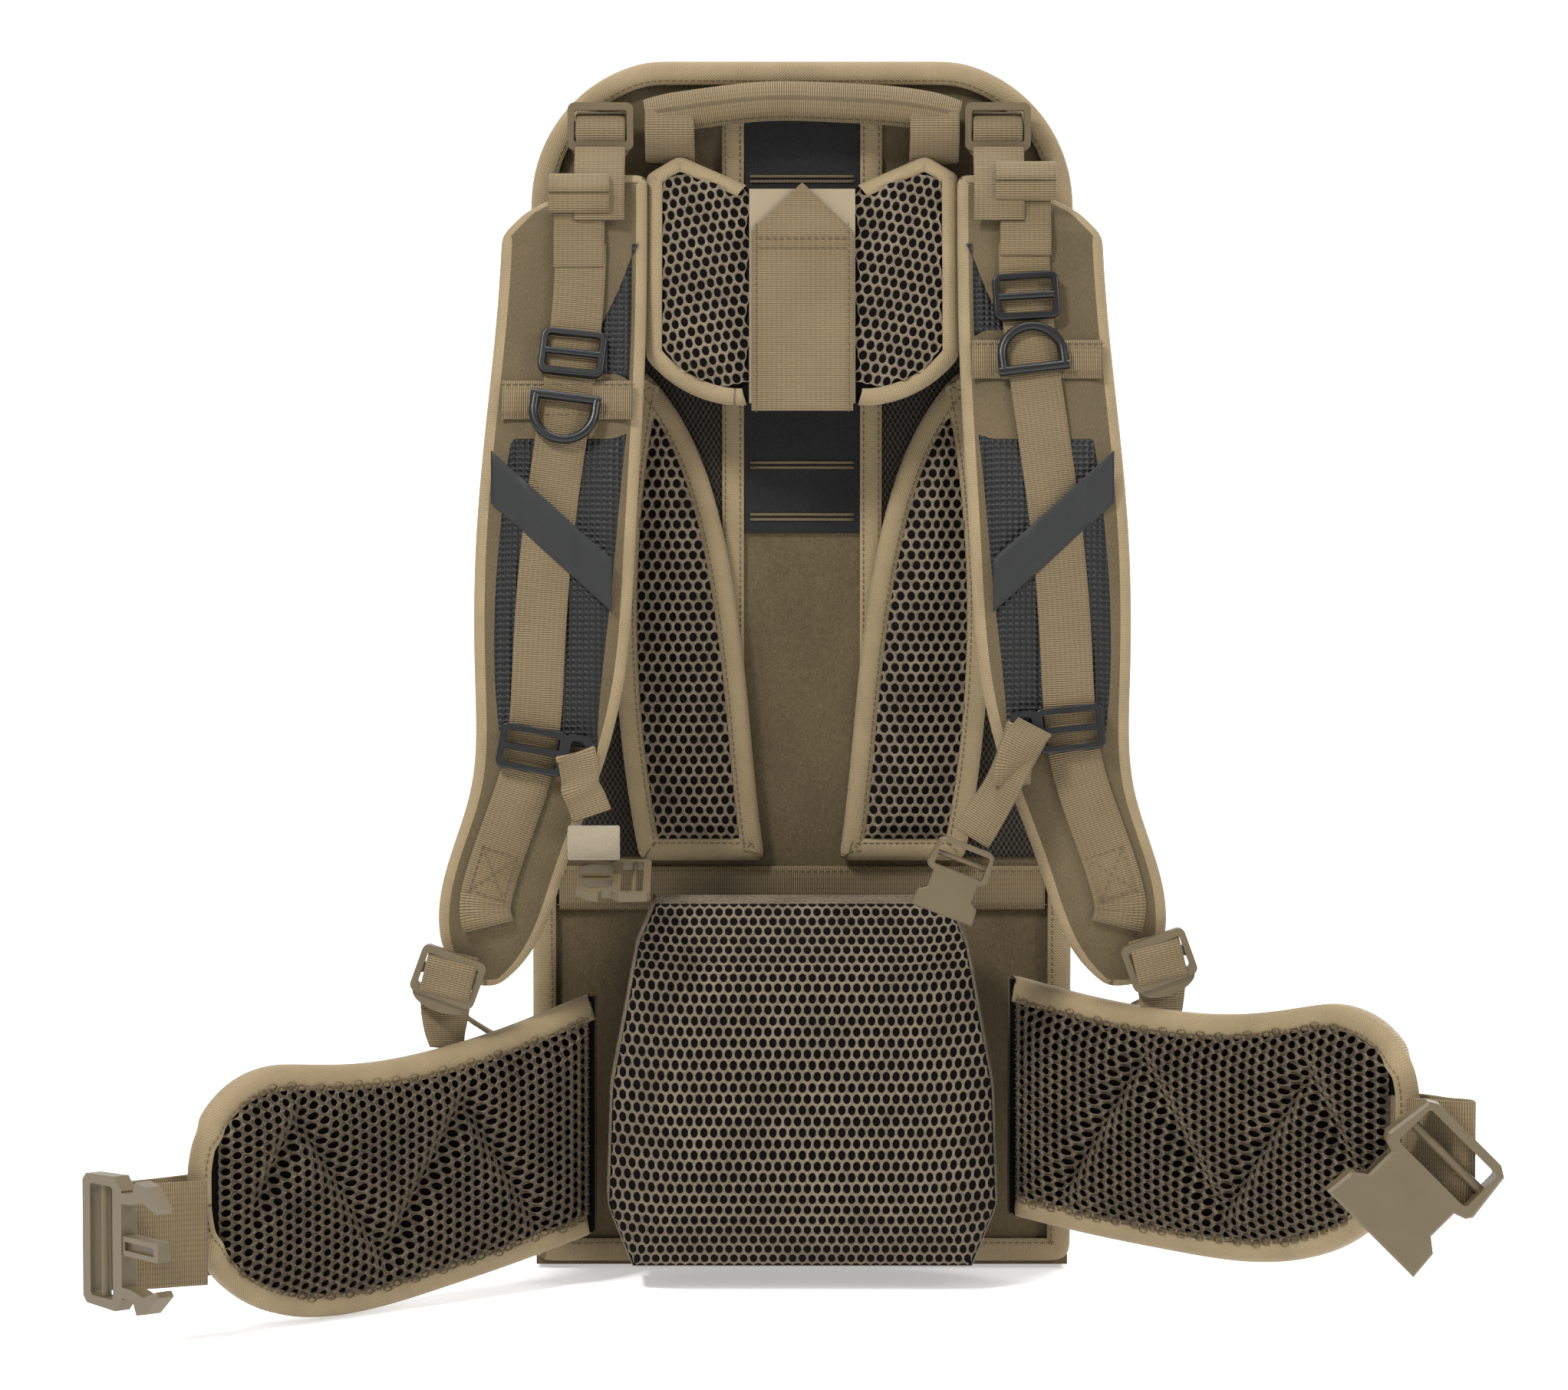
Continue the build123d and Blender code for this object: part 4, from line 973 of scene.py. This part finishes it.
# webbing down each strap, following the CAD strip
webbingSpec = {"wide": 0.0252, "thick": 0.0018, "foot": 0.180, "top": 0.512,
               "roll": {"left": 0.5345, "right": 0.5405},
               "cross": 0.0200, "crossSeam": 0.0078, "slant": 0.0258}
for side, s in sides:
    body = "strap_" + side
    sheet = strapSheets[side]
    rows = slices("strap_webbing_" + side, 2, 90, webbingSpec["foot"], webbingSpec["top"])
    mid = (rows[:, 1] + rows[:, 2]) / 2
    for _ in range(6):
        mid[1:-1] = mid[1:-1] * 0.5 + (mid[:-2] + mid[2:]) * 0.25
    off = 0.0072 + 0.0011 * np.clip(np.sin(rows[:, 0] * 41 + (1 if s < 0 else 2.1)), 0, 1)
    path = sheet.point(mid, rows[:, 0], off)
    run = strip("strapWebbing_" + side, path, (1, 0, 0), webbingSpec["wide"], webbingSpec["thick"], webbing,
                body, 0.0002)
    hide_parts("strap_webbing_" + side)
    # box with a cross sewn at the foot of the webbing
    foot, top = path[4], path[14]
    along = (top - foot) / np.linalg.norm(top - foot)
    side1 = np.cross(along, sheet.out(foot[0], foot[2]))
    side1 /= np.linalg.norm(side1)
    up = sheet.out(foot[0], foot[2]) * 0.0012
    c = [foot + side1 * 0.009 + up, foot - side1 * 0.009 + up, foot - side1 * 0.009 + along * 0.022 + up,
         foot + side1 * 0.009 + along * 0.022 + up]
    seam(body, np.array([c[0], c[1], c[2], c[3], c[0]]), np.array([c[0], c[2]]), np.array([c[1], c[3]]))
    # rolled spare webbing in its keeper near the top of the strap
    tops = slices("strap_webbing_" + side, 2, 12, 0.528, 0.5445)
    rollMid = tops[:, 1:3].mean()
    rollWide = (tops[:, 2] - tops[:, 1]).max()
    rollZ = webbingSpec["roll"][side]
    face = sheet.point(rollMid, rollZ, 0.0075)
    normal = sheet.out(rollMid, rollZ)
    upward = np.cross(normal, np.array([1.0, 0, 0]))
    upward *= np.sign(upward[2])
    turns = []
    for k in np.linspace(0, 1, 46):
        a = k * math.tau * 1.75
        r = 0.0102 - 0.0048 * k
        turns.append(face + normal * (0.0042 + math.cos(a) * r * 0.42) + upward * math.sin(a) * r)
    strip("rolledTail_" + side, turns, (1, 0, 0), rollWide - 0.002, webbingSpec["thick"], webbing, body)
    hang = np.linspace(0.008, 0.036, 16)
    tail = [face - upward * t + normal * (0.0012 + 0.0006 * math.sin(t * 300)) for t in hang]
    strip("tailRun_" + side, tail, (1, 0, 0), webbingSpec["wide"], webbingSpec["thick"], webbing, body)
    # cross webbing
    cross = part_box("cross_webbing_" + side)
    z = (cross[0].z + cross[1].z) / 2
    xs = np.linspace(cross[0].x + 0.002, cross[1].x - 0.002, 30)
    lay = sheet.point(xs, z, 0.0079)
    beside = np.abs(xs - np.interp(z, rows[:, 0], mid)) < 0.0150
    lay += sheet.out(xs, z) * np.where(beside, -0.0009, -0.0006)[:, None]
    across = np.cross([1, 0, 0], sheet.out(xs[0], z))
    band = strip("crossWebbing_" + side, lay, across, webbingSpec["cross"], webbingSpec["thick"], webbing,
                 body)
    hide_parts("cross_webbing_" + side)
    for dz in (-webbingSpec["crossSeam"], webbingSpec["crossSeam"]):
        seam(body, lay + across * dz + sheet.out(xs, z) * 0.0012)
    # plain black band sewn slantwise over the webbing
    label = slices("label_band_" + side, 0, 24)
    lx = np.linspace(label[0, 0], label[-1, 0], 28)
    lz = np.interp(lx, label[:, 0], (label[:, 1] + label[:, 2]) / 2)
    on = np.abs(lx - np.interp(lz, rows[:, 0], mid)) < 0.0145
    spot = sheet.point(lx, lz, np.where(on, 0.0104, 0.0092))
    band = strip("slantBand_" + side, spot[1:-1], (0, 0, 1), webbingSpec["slant"], 0.0009, labelCloth, body,
                 slant=True)
    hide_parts("label_band_" + side)
print("strap webbing done")

# yoke
yokeSpec = {"lip": 0.0050, "edge": 0.014, "rim": 0.0020, "front": 0.0060, "rear": 0.0040, "tape": 0.0068,
            "tabHalf": 0.0275,
            "net": (4.85, 5.4), "hole": 0.74, "sink": 0.0011}


def outsideTab(x, z):
    # the tape stops where the middle panel covers the wing
    return abs(x) > yokeSpec["tabHalf"]


for side, s in sides:
    node = "yoke_" + side
    sheet = sheetOf(node, 2, 70)
    turned = -s * 0.22
    pad = padMesh("yokePad_" + side, sheet, foam, yokeSpec["front"], yokeSpec["rear"], yokeSpec["rim"],
                  yokeSpec["edge"], 32, lip=yokeSpec["lip"])
    tape, line = edgeTape("yokeEdge_" + side, sheet, yokeSpec["tape"], yokeSpec["rim"] + 0.0018, 240,
                          outsideTab)
    insets = (0.004, -0.002, 0.004, 0.005) if s < 0 else (-0.002, 0.004, 0.004, 0.005)
    base = frontOf(sheet, (yokeSpec["rim"] + 0.0014, yokeSpec["front"] + 0.0014), yokeSpec["edge"], 32,
                   insets,
                   lip=yokeSpec["lip"])
    mesh = openNet("yokeNet_" + side, base, yokeSpec["net"], yokeSpec["hole"], yokeSpec["sink"], turned)
    for piece in (pad, tape, mesh):
        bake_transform(piece)
    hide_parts(node)
tabSheet = sheetOf("yoke_tab", 2, 60)
tabPath = tabSheet.point(0.0, np.linspace(tabSheet.at[0] + 0.0005, 0.522, 50), 0.0006)
tab = padMesh("yokeTab", tabSheet, webbing, 0.0014, 0.0006, 0.0008, 0.002, 20)
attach(tab, "yoke_tab")
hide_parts("yoke_tab")
for dx in (-0.0228, 0.0228):
    seam("yoke_tab", tabPath + np.array([dx, -0.0014, 0]))
for z in (0.5105, 0.5150):
    seam("yoke_tab", tabSheet.point(np.linspace(-0.0205, 0.0205, 16), z, 0.0020))
print("yoke done")

# belt wings
wingSpec = {"lip": 0.0075, "edge": 0.020, "rim": 0.0030, "front": 0.0080, "rear": 0.0075, "groove": 0.0066,
            "tape": 0.0105,
            "tapeFrom": 0.1045, "net": (4.85, 5.6), "hole": 0.72, "sink": 0.0012}


def besidePad(x, z):
    # the tape stops beside the lumbar pad
    return abs(x) > wingSpec["tapeFrom"]


def zigzag(at, z, middle):
    # depth of the moulded grooves that run in a zigzag along a wing
    run = np.abs(at)
    phase = ((run - 0.132) / 0.074) % 1.0
    wave = np.where(phase < 0.5, phase * 4 - 1, 3 - phase * 4) * 0.036
    far = np.abs((z - middle) - wave) * 0.62
    fade = np.clip((run - 0.125) / 0.012, 0, 1) * np.clip((0.272 - run) / 0.016, 0, 1)
    return -wingSpec["groove"] * np.exp(-(far / 0.0058) ** 2) * fade


for side, s in sides:
    node, body = "belt_wing_" + side, "belt_" + side
    sheet = sheetOf(node, 0, 90)
    middle = np.interp(s * 0.19, sheet.at, (sheet.low + sheet.high) / 2)
    shape = partial(zigzag, middle=middle)
    pad = padMesh("beltPad_" + side, sheet, foam, wingSpec["front"], wingSpec["rear"], wingSpec["rim"],
                  wingSpec["edge"], 70,
                  shape, wingSpec["lip"], cloth)
    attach(pad, body)
    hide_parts(node)
    insets = (0.005, 0.005, 0.005, -0.001) if s < 0 else (0.005, 0.005, -0.001, 0.005)
    base = frontOf(sheet, (wingSpec["rim"] + 0.0016, wingSpec["front"] + 0.0016), wingSpec["edge"], 70,
                   insets, shape,
                   wingSpec["lip"])
    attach(openNet("beltNet_" + side, base, wingSpec["net"], wingSpec["hole"], wingSpec["sink"],
                    math.pi / 2), body)
    tape, line = edgeTape("beltEdge_" + side, sheet, wingSpec["tape"], wingSpec["rim"] + 0.0022, 360,
                          besidePad)
    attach(tape, body)
    seam(body, line)
print("belt wings done")


# webbing between the parts
def ribbonOf(name):
    # both ends, the width direction and the outward face of a straight CAD ribbon
    points = np.array([v.co for v in frame["nodes"][name].data.vertices], float)
    middle = points.mean(0)
    value, axes = np.linalg.eigh(np.cov((points - middle).T))
    spread = [np.ptp((points - middle) @ axes[:, k]) for k in range(3)]
    order = np.argsort(spread)
    along, across, face = axes[:, order[2]], axes[:, order[1]], axes[:, order[0]]
    if face[1] > 0:
        face = -face
    low = ((points - middle) @ along).min()
    high = ((points - middle) @ along).max()
    ends = [middle + along * low, middle + along * high]
    if ends[0][2] < ends[1][2]:
        ends = ends[::-1]
    return np.array(ends), across, face


adjusterSpec = {"wide": 0.0250, "inLock": 0.0245, "thick": 0.0018, "lifter": 0.0019}
for side, s in sides:
    strap, lock = "strap_" + side, "lower_lock_" + side
    # load lifter: down from its lock to the top of the strap
    rows = slices("lifter_webbing_" + side, 2, 16)
    x = (rows[:, 1] + rows[:, 2]) / 2
    path = np.stack([x, rows[:, 3], rows[:, 0]], -1)
    lifter = strip("lifterWebbing_" + side, smoothPath(np.concatenate([path[:-1:3], path[-1:]]), 40),
                   (1, 0, 0), adjusterSpec["wide"], adjusterSpec["lifter"], webbing)
    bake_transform(lifter)
    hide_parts("lifter_webbing_" + side)
    # over the bars of the lifter lock
    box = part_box("lifter_lock_" + side)
    cx, cy = (box[0].x + box[1].x) / 2, (box[0].y + box[1].y) / 2
    bar = [(cx, cy + 0.0065, box[1].z - 0.0050), (cx, cy - 0.0015, box[1].z - 0.0085),
           (cx, cy - 0.0036, box[1].z - 0.0125),
           (cx, cy - 0.0036, box[0].z + 0.0135), (cx, cy - 0.0010, box[0].z + 0.0095),
           (cx, cy + 0.0065, box[0].z + 0.0060)]
    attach(strip("lifterLoop_" + side, smoothPath(bar, 40), (1, 0, 0), adjusterSpec["inLock"],
                  adjusterSpec["thick"], webbing),
            "lifter_lock_" + side)
    # lower adjuster: webbing from the pack to the lock, and its free tail
    ends, across, face = ribbonOf("lower_webbing_" + side)
    bow = smoothPath([ends[1], (ends[0] + ends[1]) / 2 + face * 0.0025, ends[0]], 30)
    lower = strip("lowerWebbing_" + side, bow, across, adjusterSpec["wide"], adjusterSpec["thick"], webbing)
    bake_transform(lower)
    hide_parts("lower_webbing_" + side)
    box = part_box(lock)
    mid = np.array([(box[0].x + box[1].x) / 2, (box[0].y + box[1].y) / 2, (box[0].z + box[1].z) / 2])
    tilt = np.array([s * 0.24, 0.0, -0.97])
    flat = np.array([0.97, 0.0, s * 0.24])
    start = mid + np.array([0, -0.0042, 0])
    loop = [start + np.array([0, 0.0080, 0]) - tilt * 0.0125,
            start + np.array([0, 0.0008, 0]) - tilt * 0.0080, start,
            start + np.array([0, 0.0003, 0]) + tilt * 0.006,
            start + np.array([0, 0.0068, 0]) + tilt * 0.012]
    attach(strip("lowerLoop_" + side, smoothPath(loop, 36), flat, adjusterSpec["inLock"],
                  adjusterSpec["thick"], webbing), lock)
    drop = mid + np.array([0, 0.0050, 0])
    hang = [drop + tilt * 0.006, drop + np.array([s * 0.002, 0.001, -0.019]),
            drop + np.array([s * 0.002, 0.000, -0.027]), drop + np.array([s * 0.001, -0.002, -0.034])]
    path = smoothPath(hang, 40)
    turn = np.linspace(0.0, 0.95, 40)[:, None]
    twist = flat * np.cos(turn) + np.array([0.0, 1.0, 0.2]) * np.sin(turn)
    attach(strip("lowerTail_" + side, path, twist, adjusterSpec["inLock"], adjusterSpec["thick"], webbing),
            lock)
print("adjusters done")

# sternum strap
def partsOf(name):
    # corner points of each separate solid of a CAD piece
    work = bmesh.new()
    work.from_mesh(frame["nodes"][name].data)
    bmesh.ops.remove_doubles(work, verts=work.verts, dist=1e-6)
    seen, groups = set(), []
    for v in work.verts:
        if v.index in seen:
            continue
        stack, group = [v], []
        seen.add(v.index)
        while stack:
            here = stack.pop()
            group.append(tuple(here.co))
            for edge in here.link_edges:
                other = edge.other_vert(here)
                if other.index not in seen:
                    seen.add(other.index)
                    stack.append(other)
        groups.append(np.array(group))
    work.free()
    return sorted(groups, key=lambda g: g[:, 2].mean(), reverse=True)


def axesOf(points):
    middle = points.mean(0)
    value, axes = np.linalg.eigh(np.cov((points - middle).T))
    spread = [np.ptp((points - middle) @ axes[:, k]) for k in range(3)]
    order = np.argsort(spread)[::-1]
    return middle, [axes[:, k] for k in order], [spread[k] for k in order]


sternumSpec = {"wide": 0.0198, "thick": 0.0018, "turn": {"left": 0.25, "right": 0.55}, "keeper": 0.0250,
               "keeperTurns": 1.15}
for side, s in sides:
    body = "sternum_" + side
    solids = partsOf("sternum_webbing_" + side)
    middle, axes, spread = axesOf(solids[0])
    along = axes[0] * (-1 if axes[0][2] > 0 else 1)
    across = axes[1]
    start, stop = middle - along * spread[0] / 2, middle + along * spread[0] / 2
    ring = start + np.array([0, 0.0018, 0.0015])
    sway = np.array([s * 0.0016, -0.0032, 0.0])
    points = [ring + np.array([0, 0.0042, -0.004]), ring, start + along * 0.010 + sway * 0.3, middle + sway,
              stop - along * 0.009 + sway * 0.4, stop]
    path = smoothPath(points, 60)
    angle = np.sin(np.linspace(0, math.pi, 60)) * sternumSpec["turn"][side]
    face = np.cross(along, across)
    turned = across[None] * np.cos(angle)[:, None] + face[None] * np.sin(angle)[:, None]
    webbing20 = strip("sternumWebbing_" + side, path, turned, sternumSpec["wide"], sternumSpec["thick"],
                      webbing, body)
    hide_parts("sternum_webbing_" + side)
    if len(solids) > 1:
        spot, keepAxes, keepSpread = axesOf(solids[1])
        up = keepAxes[2] * (-1 if keepAxes[2][1] > 0 else 1)
        wide = keepAxes[0] if abs(keepAxes[0][0]) > abs(keepAxes[1][0]) else keepAxes[1]
        tall = np.cross(wide, up)
        ringPath = []
        for k in np.linspace(0, 1, 40):
            a = math.tau * (k * sternumSpec["keeperTurns"] + 0.02)
            rise = 0.0010 + math.cos(a) * 0.0036 * (1 + 0.25 * k)
            ringPath.append(spot + tall * math.sin(a) * 0.0080 * (1 - 0.12 * k) + up * rise)
        strip("keeper_" + side, ringPath, wide, sternumSpec["keeper"], 0.0016, tanLoop, body)
    if side == "right":
        fold = [ring + np.array([0.004, -0.0020, 0.002]), ring + np.array([-0.002, -0.0075, -0.006]),
                ring + np.array([-0.006, -0.0090, -0.016]), ring + np.array([-0.007, -0.0060, -0.026])]
        strip("looseFold", smoothPath(fold, 30), (0.9, 0.25, 0.35), 0.0196, 0.0018, webbing, body)
print("sternum strap done")

# belt webbing
beltSpec = {"wide": 0.0490, "thick": 0.0021}
for side, s in sides:
    body, node = "belt_" + side, "belt_webbing_" + side
    rows = slices(node, 0, 40)
    if s < 0:
        rows = rows[::-1]
    zMid = (rows[:, 1] + rows[:, 2])[2:-2].mean() / 2
    path = np.stack([rows[:, 0], rows[:, 3], np.full(len(rows), zMid)], -1)
    tip = path[-1] - path[-4]
    tip /= np.linalg.norm(tip)
    back = np.array([tip[1], -tip[0], 0.0]) * (1 if tip[0] * s > 0 else -1)
    back *= -1 if back[1] > 0 else 1
    end = path[-1]
    loop = [end + tip * 0.004, end + tip * 0.0085 + back * 0.0015, end + tip * 0.0105 + back * 0.0050,
            end + tip * 0.0085 + back * 0.0082, end + back * 0.0092, end - tip * 0.014 + back * 0.0088,
            end - tip * 0.030 + back * 0.0046, end - tip * 0.040 + back * 0.0024]
    full = np.concatenate([smoothPath(path[::3], 70), smoothPath(loop, 50)])
    run = strip("beltWebbing_" + side, full, (0, 0, 1), beltSpec["wide"], beltSpec["thick"], webbing, body,
                0.0002)
    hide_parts(node)
print("belt webbing done")

# haul handle
handleSpec = {"radius": 0.0098, "around": 28, "fold": 0.185, "end": 0.0245, "endThick": 0.0030}
rows = slices("haul_handle", 0, 60)
span = rows[-1, 0]
spine = []
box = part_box("haul_handle")
for x in np.linspace(-span + 0.001, span - 0.001, 90):
    top = np.interp(x, rows[:, 0], rows[:, 2])
    spine.append((x, box[0].y + 0.0108, top - handleSpec["radius"] - 0.0003 * math.sin(x * 90)))
spine = np.array(spine)
ahead = np.gradient(spine, axis=0)
ahead /= np.linalg.norm(ahead, axis=1)[:, None]
outFrom = np.array([0, -1.0, 0])
points, uv, faces, around = [], [], [], handleSpec["around"]
arc = np.concatenate([[0], np.cumsum(np.linalg.norm(np.diff(spine, axis=0), axis=1))])
for i, spot in enumerate(spine):
    upward = np.cross(outFrom, ahead[i])
    upward *= np.sign(upward[2])
    squeeze = 1 - 0.16 * max(0.0, (abs(spot[0]) - span * 0.80) / (span * 0.20)) ** 1.5
    for j in range(around):
        a = math.tau * j / around
        fold = 1 - 0.10 * math.exp(-((a - math.tau * handleSpec["fold"]) / 0.16) ** 2)
        r = handleSpec["radius"] * fold * squeeze
        points.append(spot + outFrom * math.cos(a) * r * 0.92 - upward * math.sin(a) * r)
        uv.append((a * handleSpec["radius"], arc[i]))
n = len(spine)
for i in range(n - 1):
    for j in range(around):
        q = (j + 1) % around
        faces.append((i * around + j, i * around + q, (i + 1) * around + q, (i + 1) * around + j))
faces.append(tuple(range(around))[::-1])
faces.append(tuple((n - 1) * around + j for j in range(around)))
grip = recalc(makeObject("handleGrip", points, faces, webbing, uv))
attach(grip, "haul_handle")
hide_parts("haul_handle")
for side, s in sides:
    foot = spine[0] if s < 0 else spine[-1]
    inner = foot + np.array([-s * 0.012, 0.0, 0.0])
    down = [inner + np.array([0, -0.0062, 0.004]), inner + np.array([0, -0.0078, -0.006]),
            inner + np.array([0, -0.0030, -0.015]), inner + np.array([0, 0.0052, -0.0215]),
            np.array([inner[0], box[1].y - 0.0012, box[0].z + 0.0015])]
    strip("handleEnd_" + side, smoothPath(down, 40), (1, 0, 0.05 * s), handleSpec["end"],
          handleSpec["endThick"], webbing,
          "haul_handle")
foldTurn = math.tau * handleSpec["fold"]
down = np.array([0, 0, 1]) * math.sin(foldTurn) * 0.0092
shift = outFrom * math.cos(foldTurn) * 0.0089 - down
lineSeam = np.array([p + shift + np.array([0, -0.0006, 0]) for p in spine[3:-3]])
seam("haul_handle", lineSeam)
print("haul handle done")

# front panel, pocket and side seams
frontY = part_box("front_panel")[1].y
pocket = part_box("front_pocket")
tall, half, deep = pocket[1].z - pocket[0].z, pocket[1].x, pocket[1].y - pocket[0].y
columns, heights = 60, 90
u = np.linspace(-1, 1, columns)
v = np.linspace(-1, 1, heights)
U, V = np.meshgrid(u, v)
full = np.clip((1 - np.abs(U) ** 7) ** (1 / 3.2) * (1 - np.abs(V) ** 9) ** (1 / 3.2), 0, 1)
pull = 0.0022 * np.sin(V * 9 + U * 2.2) * np.abs(U) ** 2 + 0.0016 * np.sin(U * 11 + V * 3.1) * np.abs(V) ** 3
dome = 0.86 + 0.14 * np.cos(U * 1.5) * np.cos(V * 1.4)
bulge = pocket[0].y + 0.0015 + (deep - 0.003) * full * dome + pull * full
corner = 1 - 0.035 * np.clip(np.abs(U) * np.abs(V) - 0.55, 0, 1)
X, Z = U * half * corner, (pocket[0].z + pocket[1].z) / 2 + V * tall / 2 * corner
points = np.stack([X, bulge, Z], -1).reshape(-1, 3)
index = np.arange(heights * columns).reshape(heights, columns)
quads = np.stack([index[:-1, :-1], index[1:, :-1], index[1:, 1:], index[:-1, 1:]], -1).reshape(-1, 4)
rim = np.concatenate([index[0, :], index[1:, -1], index[-1, -2::-1], index[-2:0:-1, 0]])
faces = quads.tolist() + [rim[::-1].tolist()]
uv = np.stack([X, Z], -1).reshape(-1, 2)
soft = recalc(makeObject("pocketCloth", points, faces, cloth, uv))
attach(soft, "front_panel")
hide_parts("front_pocket")
frontSpec = {"seams": (0.010, 0.0135), "bands": (0.470, 0.086), "band": 0.0200, "bandHalf": 0.118,
             "bandSeam": 0.0078}
front = level("front_panel", frontY - 0.0012)
loop, inner = front.outline(420)
for inset in frontSpec["seams"]:
    line = np.stack([loop[:, 0] + inner[:, 0] * inset, np.full(len(loop), frontY + 0.0004),
                     loop[:, 1] + inner[:, 1] * inset], -1)
    seam("front_panel", np.concatenate([line, line[:1]]))
x = np.linspace(-frontSpec["bandHalf"], frontSpec["bandHalf"], 50)
for z in frontSpec["bands"]:
    path = np.stack([x, np.full(50, frontY + 0.0011), np.full(50, z)], -1)
    strip("frontBand%d" % int(z * 1000), path, (0, 0, 1), frontSpec["band"], 0.0016, webbing, "front_panel")
    for dz in (-frontSpec["bandSeam"], frontSpec["bandSeam"]):
        seam("front_panel", np.stack([x, np.full(50, frontY + 0.0021), np.full(50, z + dz)], -1))
# the bag's edges: a double seam round the top and sides, behind the harness panel and before the zip
loop, inner = panel.outline(420)
keep = [i for i in range(len(loop)) if loop[i, 1] > 0.012]
gap = [k for k in range(len(keep) - 1) if keep[k + 1] - keep[k] > 1]
if gap:
    keep = keep[gap[0] + 1:] + keep[:gap[0] + 1]
for y in (-0.0665, 0.0425):
    for shift in (0.0, 0.0028):
        seam("pack", [(loop[i, 0] - inner[i, 0] * 0.0004, y + shift,
                       loop[i, 1] - inner[i, 1] * 0.0004) for i in keep])
print("front panel done")

# stitches
for body, lines in seams.items():
    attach(sewAll("stitches_" + body, lines), body)
print("stitches done")

# floor, light and camera
bpy.context.view_layer.update()
low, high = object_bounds()
pale = Mat("paleFloor")
pale.put(pale.shader.inputs["Base Color"], (0.88, 0.88, 0.88))
pale.put(pale.shader.inputs["Roughness"], 0.9)
pale.put(pale.shader.inputs["Emission Color"], (1.0, 1.0, 1.0))
pale.shader.inputs["Emission Strength"].default_value = 0.42
floor = makeObject("floor", [(-9, -7, 0), (9, -7, 0), (9, 5, 0), (-9, 5, 0)], [(0, 1, 2, 3)], pale.material)
floor.location.z = low[2] - 0.001
floor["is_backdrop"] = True


def light(name, spot, aim, size, power):
    data = bpy.data.lights.new(name, "AREA")
    data.shape = "DISK"
    data.size, data.energy = size, power
    obj = bpy.data.objects.new(name, data)
    obj.location = spot
    obj.rotation_euler = (Vector(aim) - Vector(spot)).to_track_quat("-Z", "Y").to_euler()
    bpy.context.scene.collection.objects.link(obj)
    obj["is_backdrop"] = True


middle = (0, -0.05, 0.3)
light("keyLight", (-1.2, -1.5, 2.3), middle, 0.5, 60)
light("fillLight", (2.1, -1.4, 1.5), middle, 0.8, 26)
light("topLight", (0.1, 0.2, 2.3), middle, 1.0, 26)
light("rimLight", (1.4, 1.6, 1.2), middle, 0.8, 20)
world = bpy.data.worlds.new("studio")
bpy.context.scene.world = world
world.use_nodes = True
world.node_tree.nodes["Background"].inputs[0].default_value = (0.99, 0.99, 1.0, 1)
world.node_tree.nodes["Background"].inputs[1].default_value = 0.42
glow = Mat("backdrop")
glow.put(glow.shader.inputs["Base Color"], (0.9, 0.9, 0.9))
glow.put(glow.shader.inputs["Emission Color"], (1.0, 1.0, 1.0))
glow.shader.inputs["Emission Strength"].default_value = 0.55
wall = makeObject("backdrop", [(-9, 5, -0.02), (9, 5, -0.02), (9, 5, 7), (-9, 5, 7)], [(0, 1, 2, 3)],
                  glow.material)
wall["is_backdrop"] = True

camera = bpy.data.cameras.new("camera")
camera.lens, camera.sensor_width = 114.5, 36
eye = bpy.data.objects.new("camera", camera)
eye.location = (-0.009, -2.575, 0.425)
eye.rotation_euler = (math.radians(90 - 3.14), 0, 0)
bpy.context.scene.collection.objects.link(eye)
bpy.context.scene.camera = eye
bpy.context.scene.view_settings.view_transform = "Standard"

bpy.context.view_layer.update()
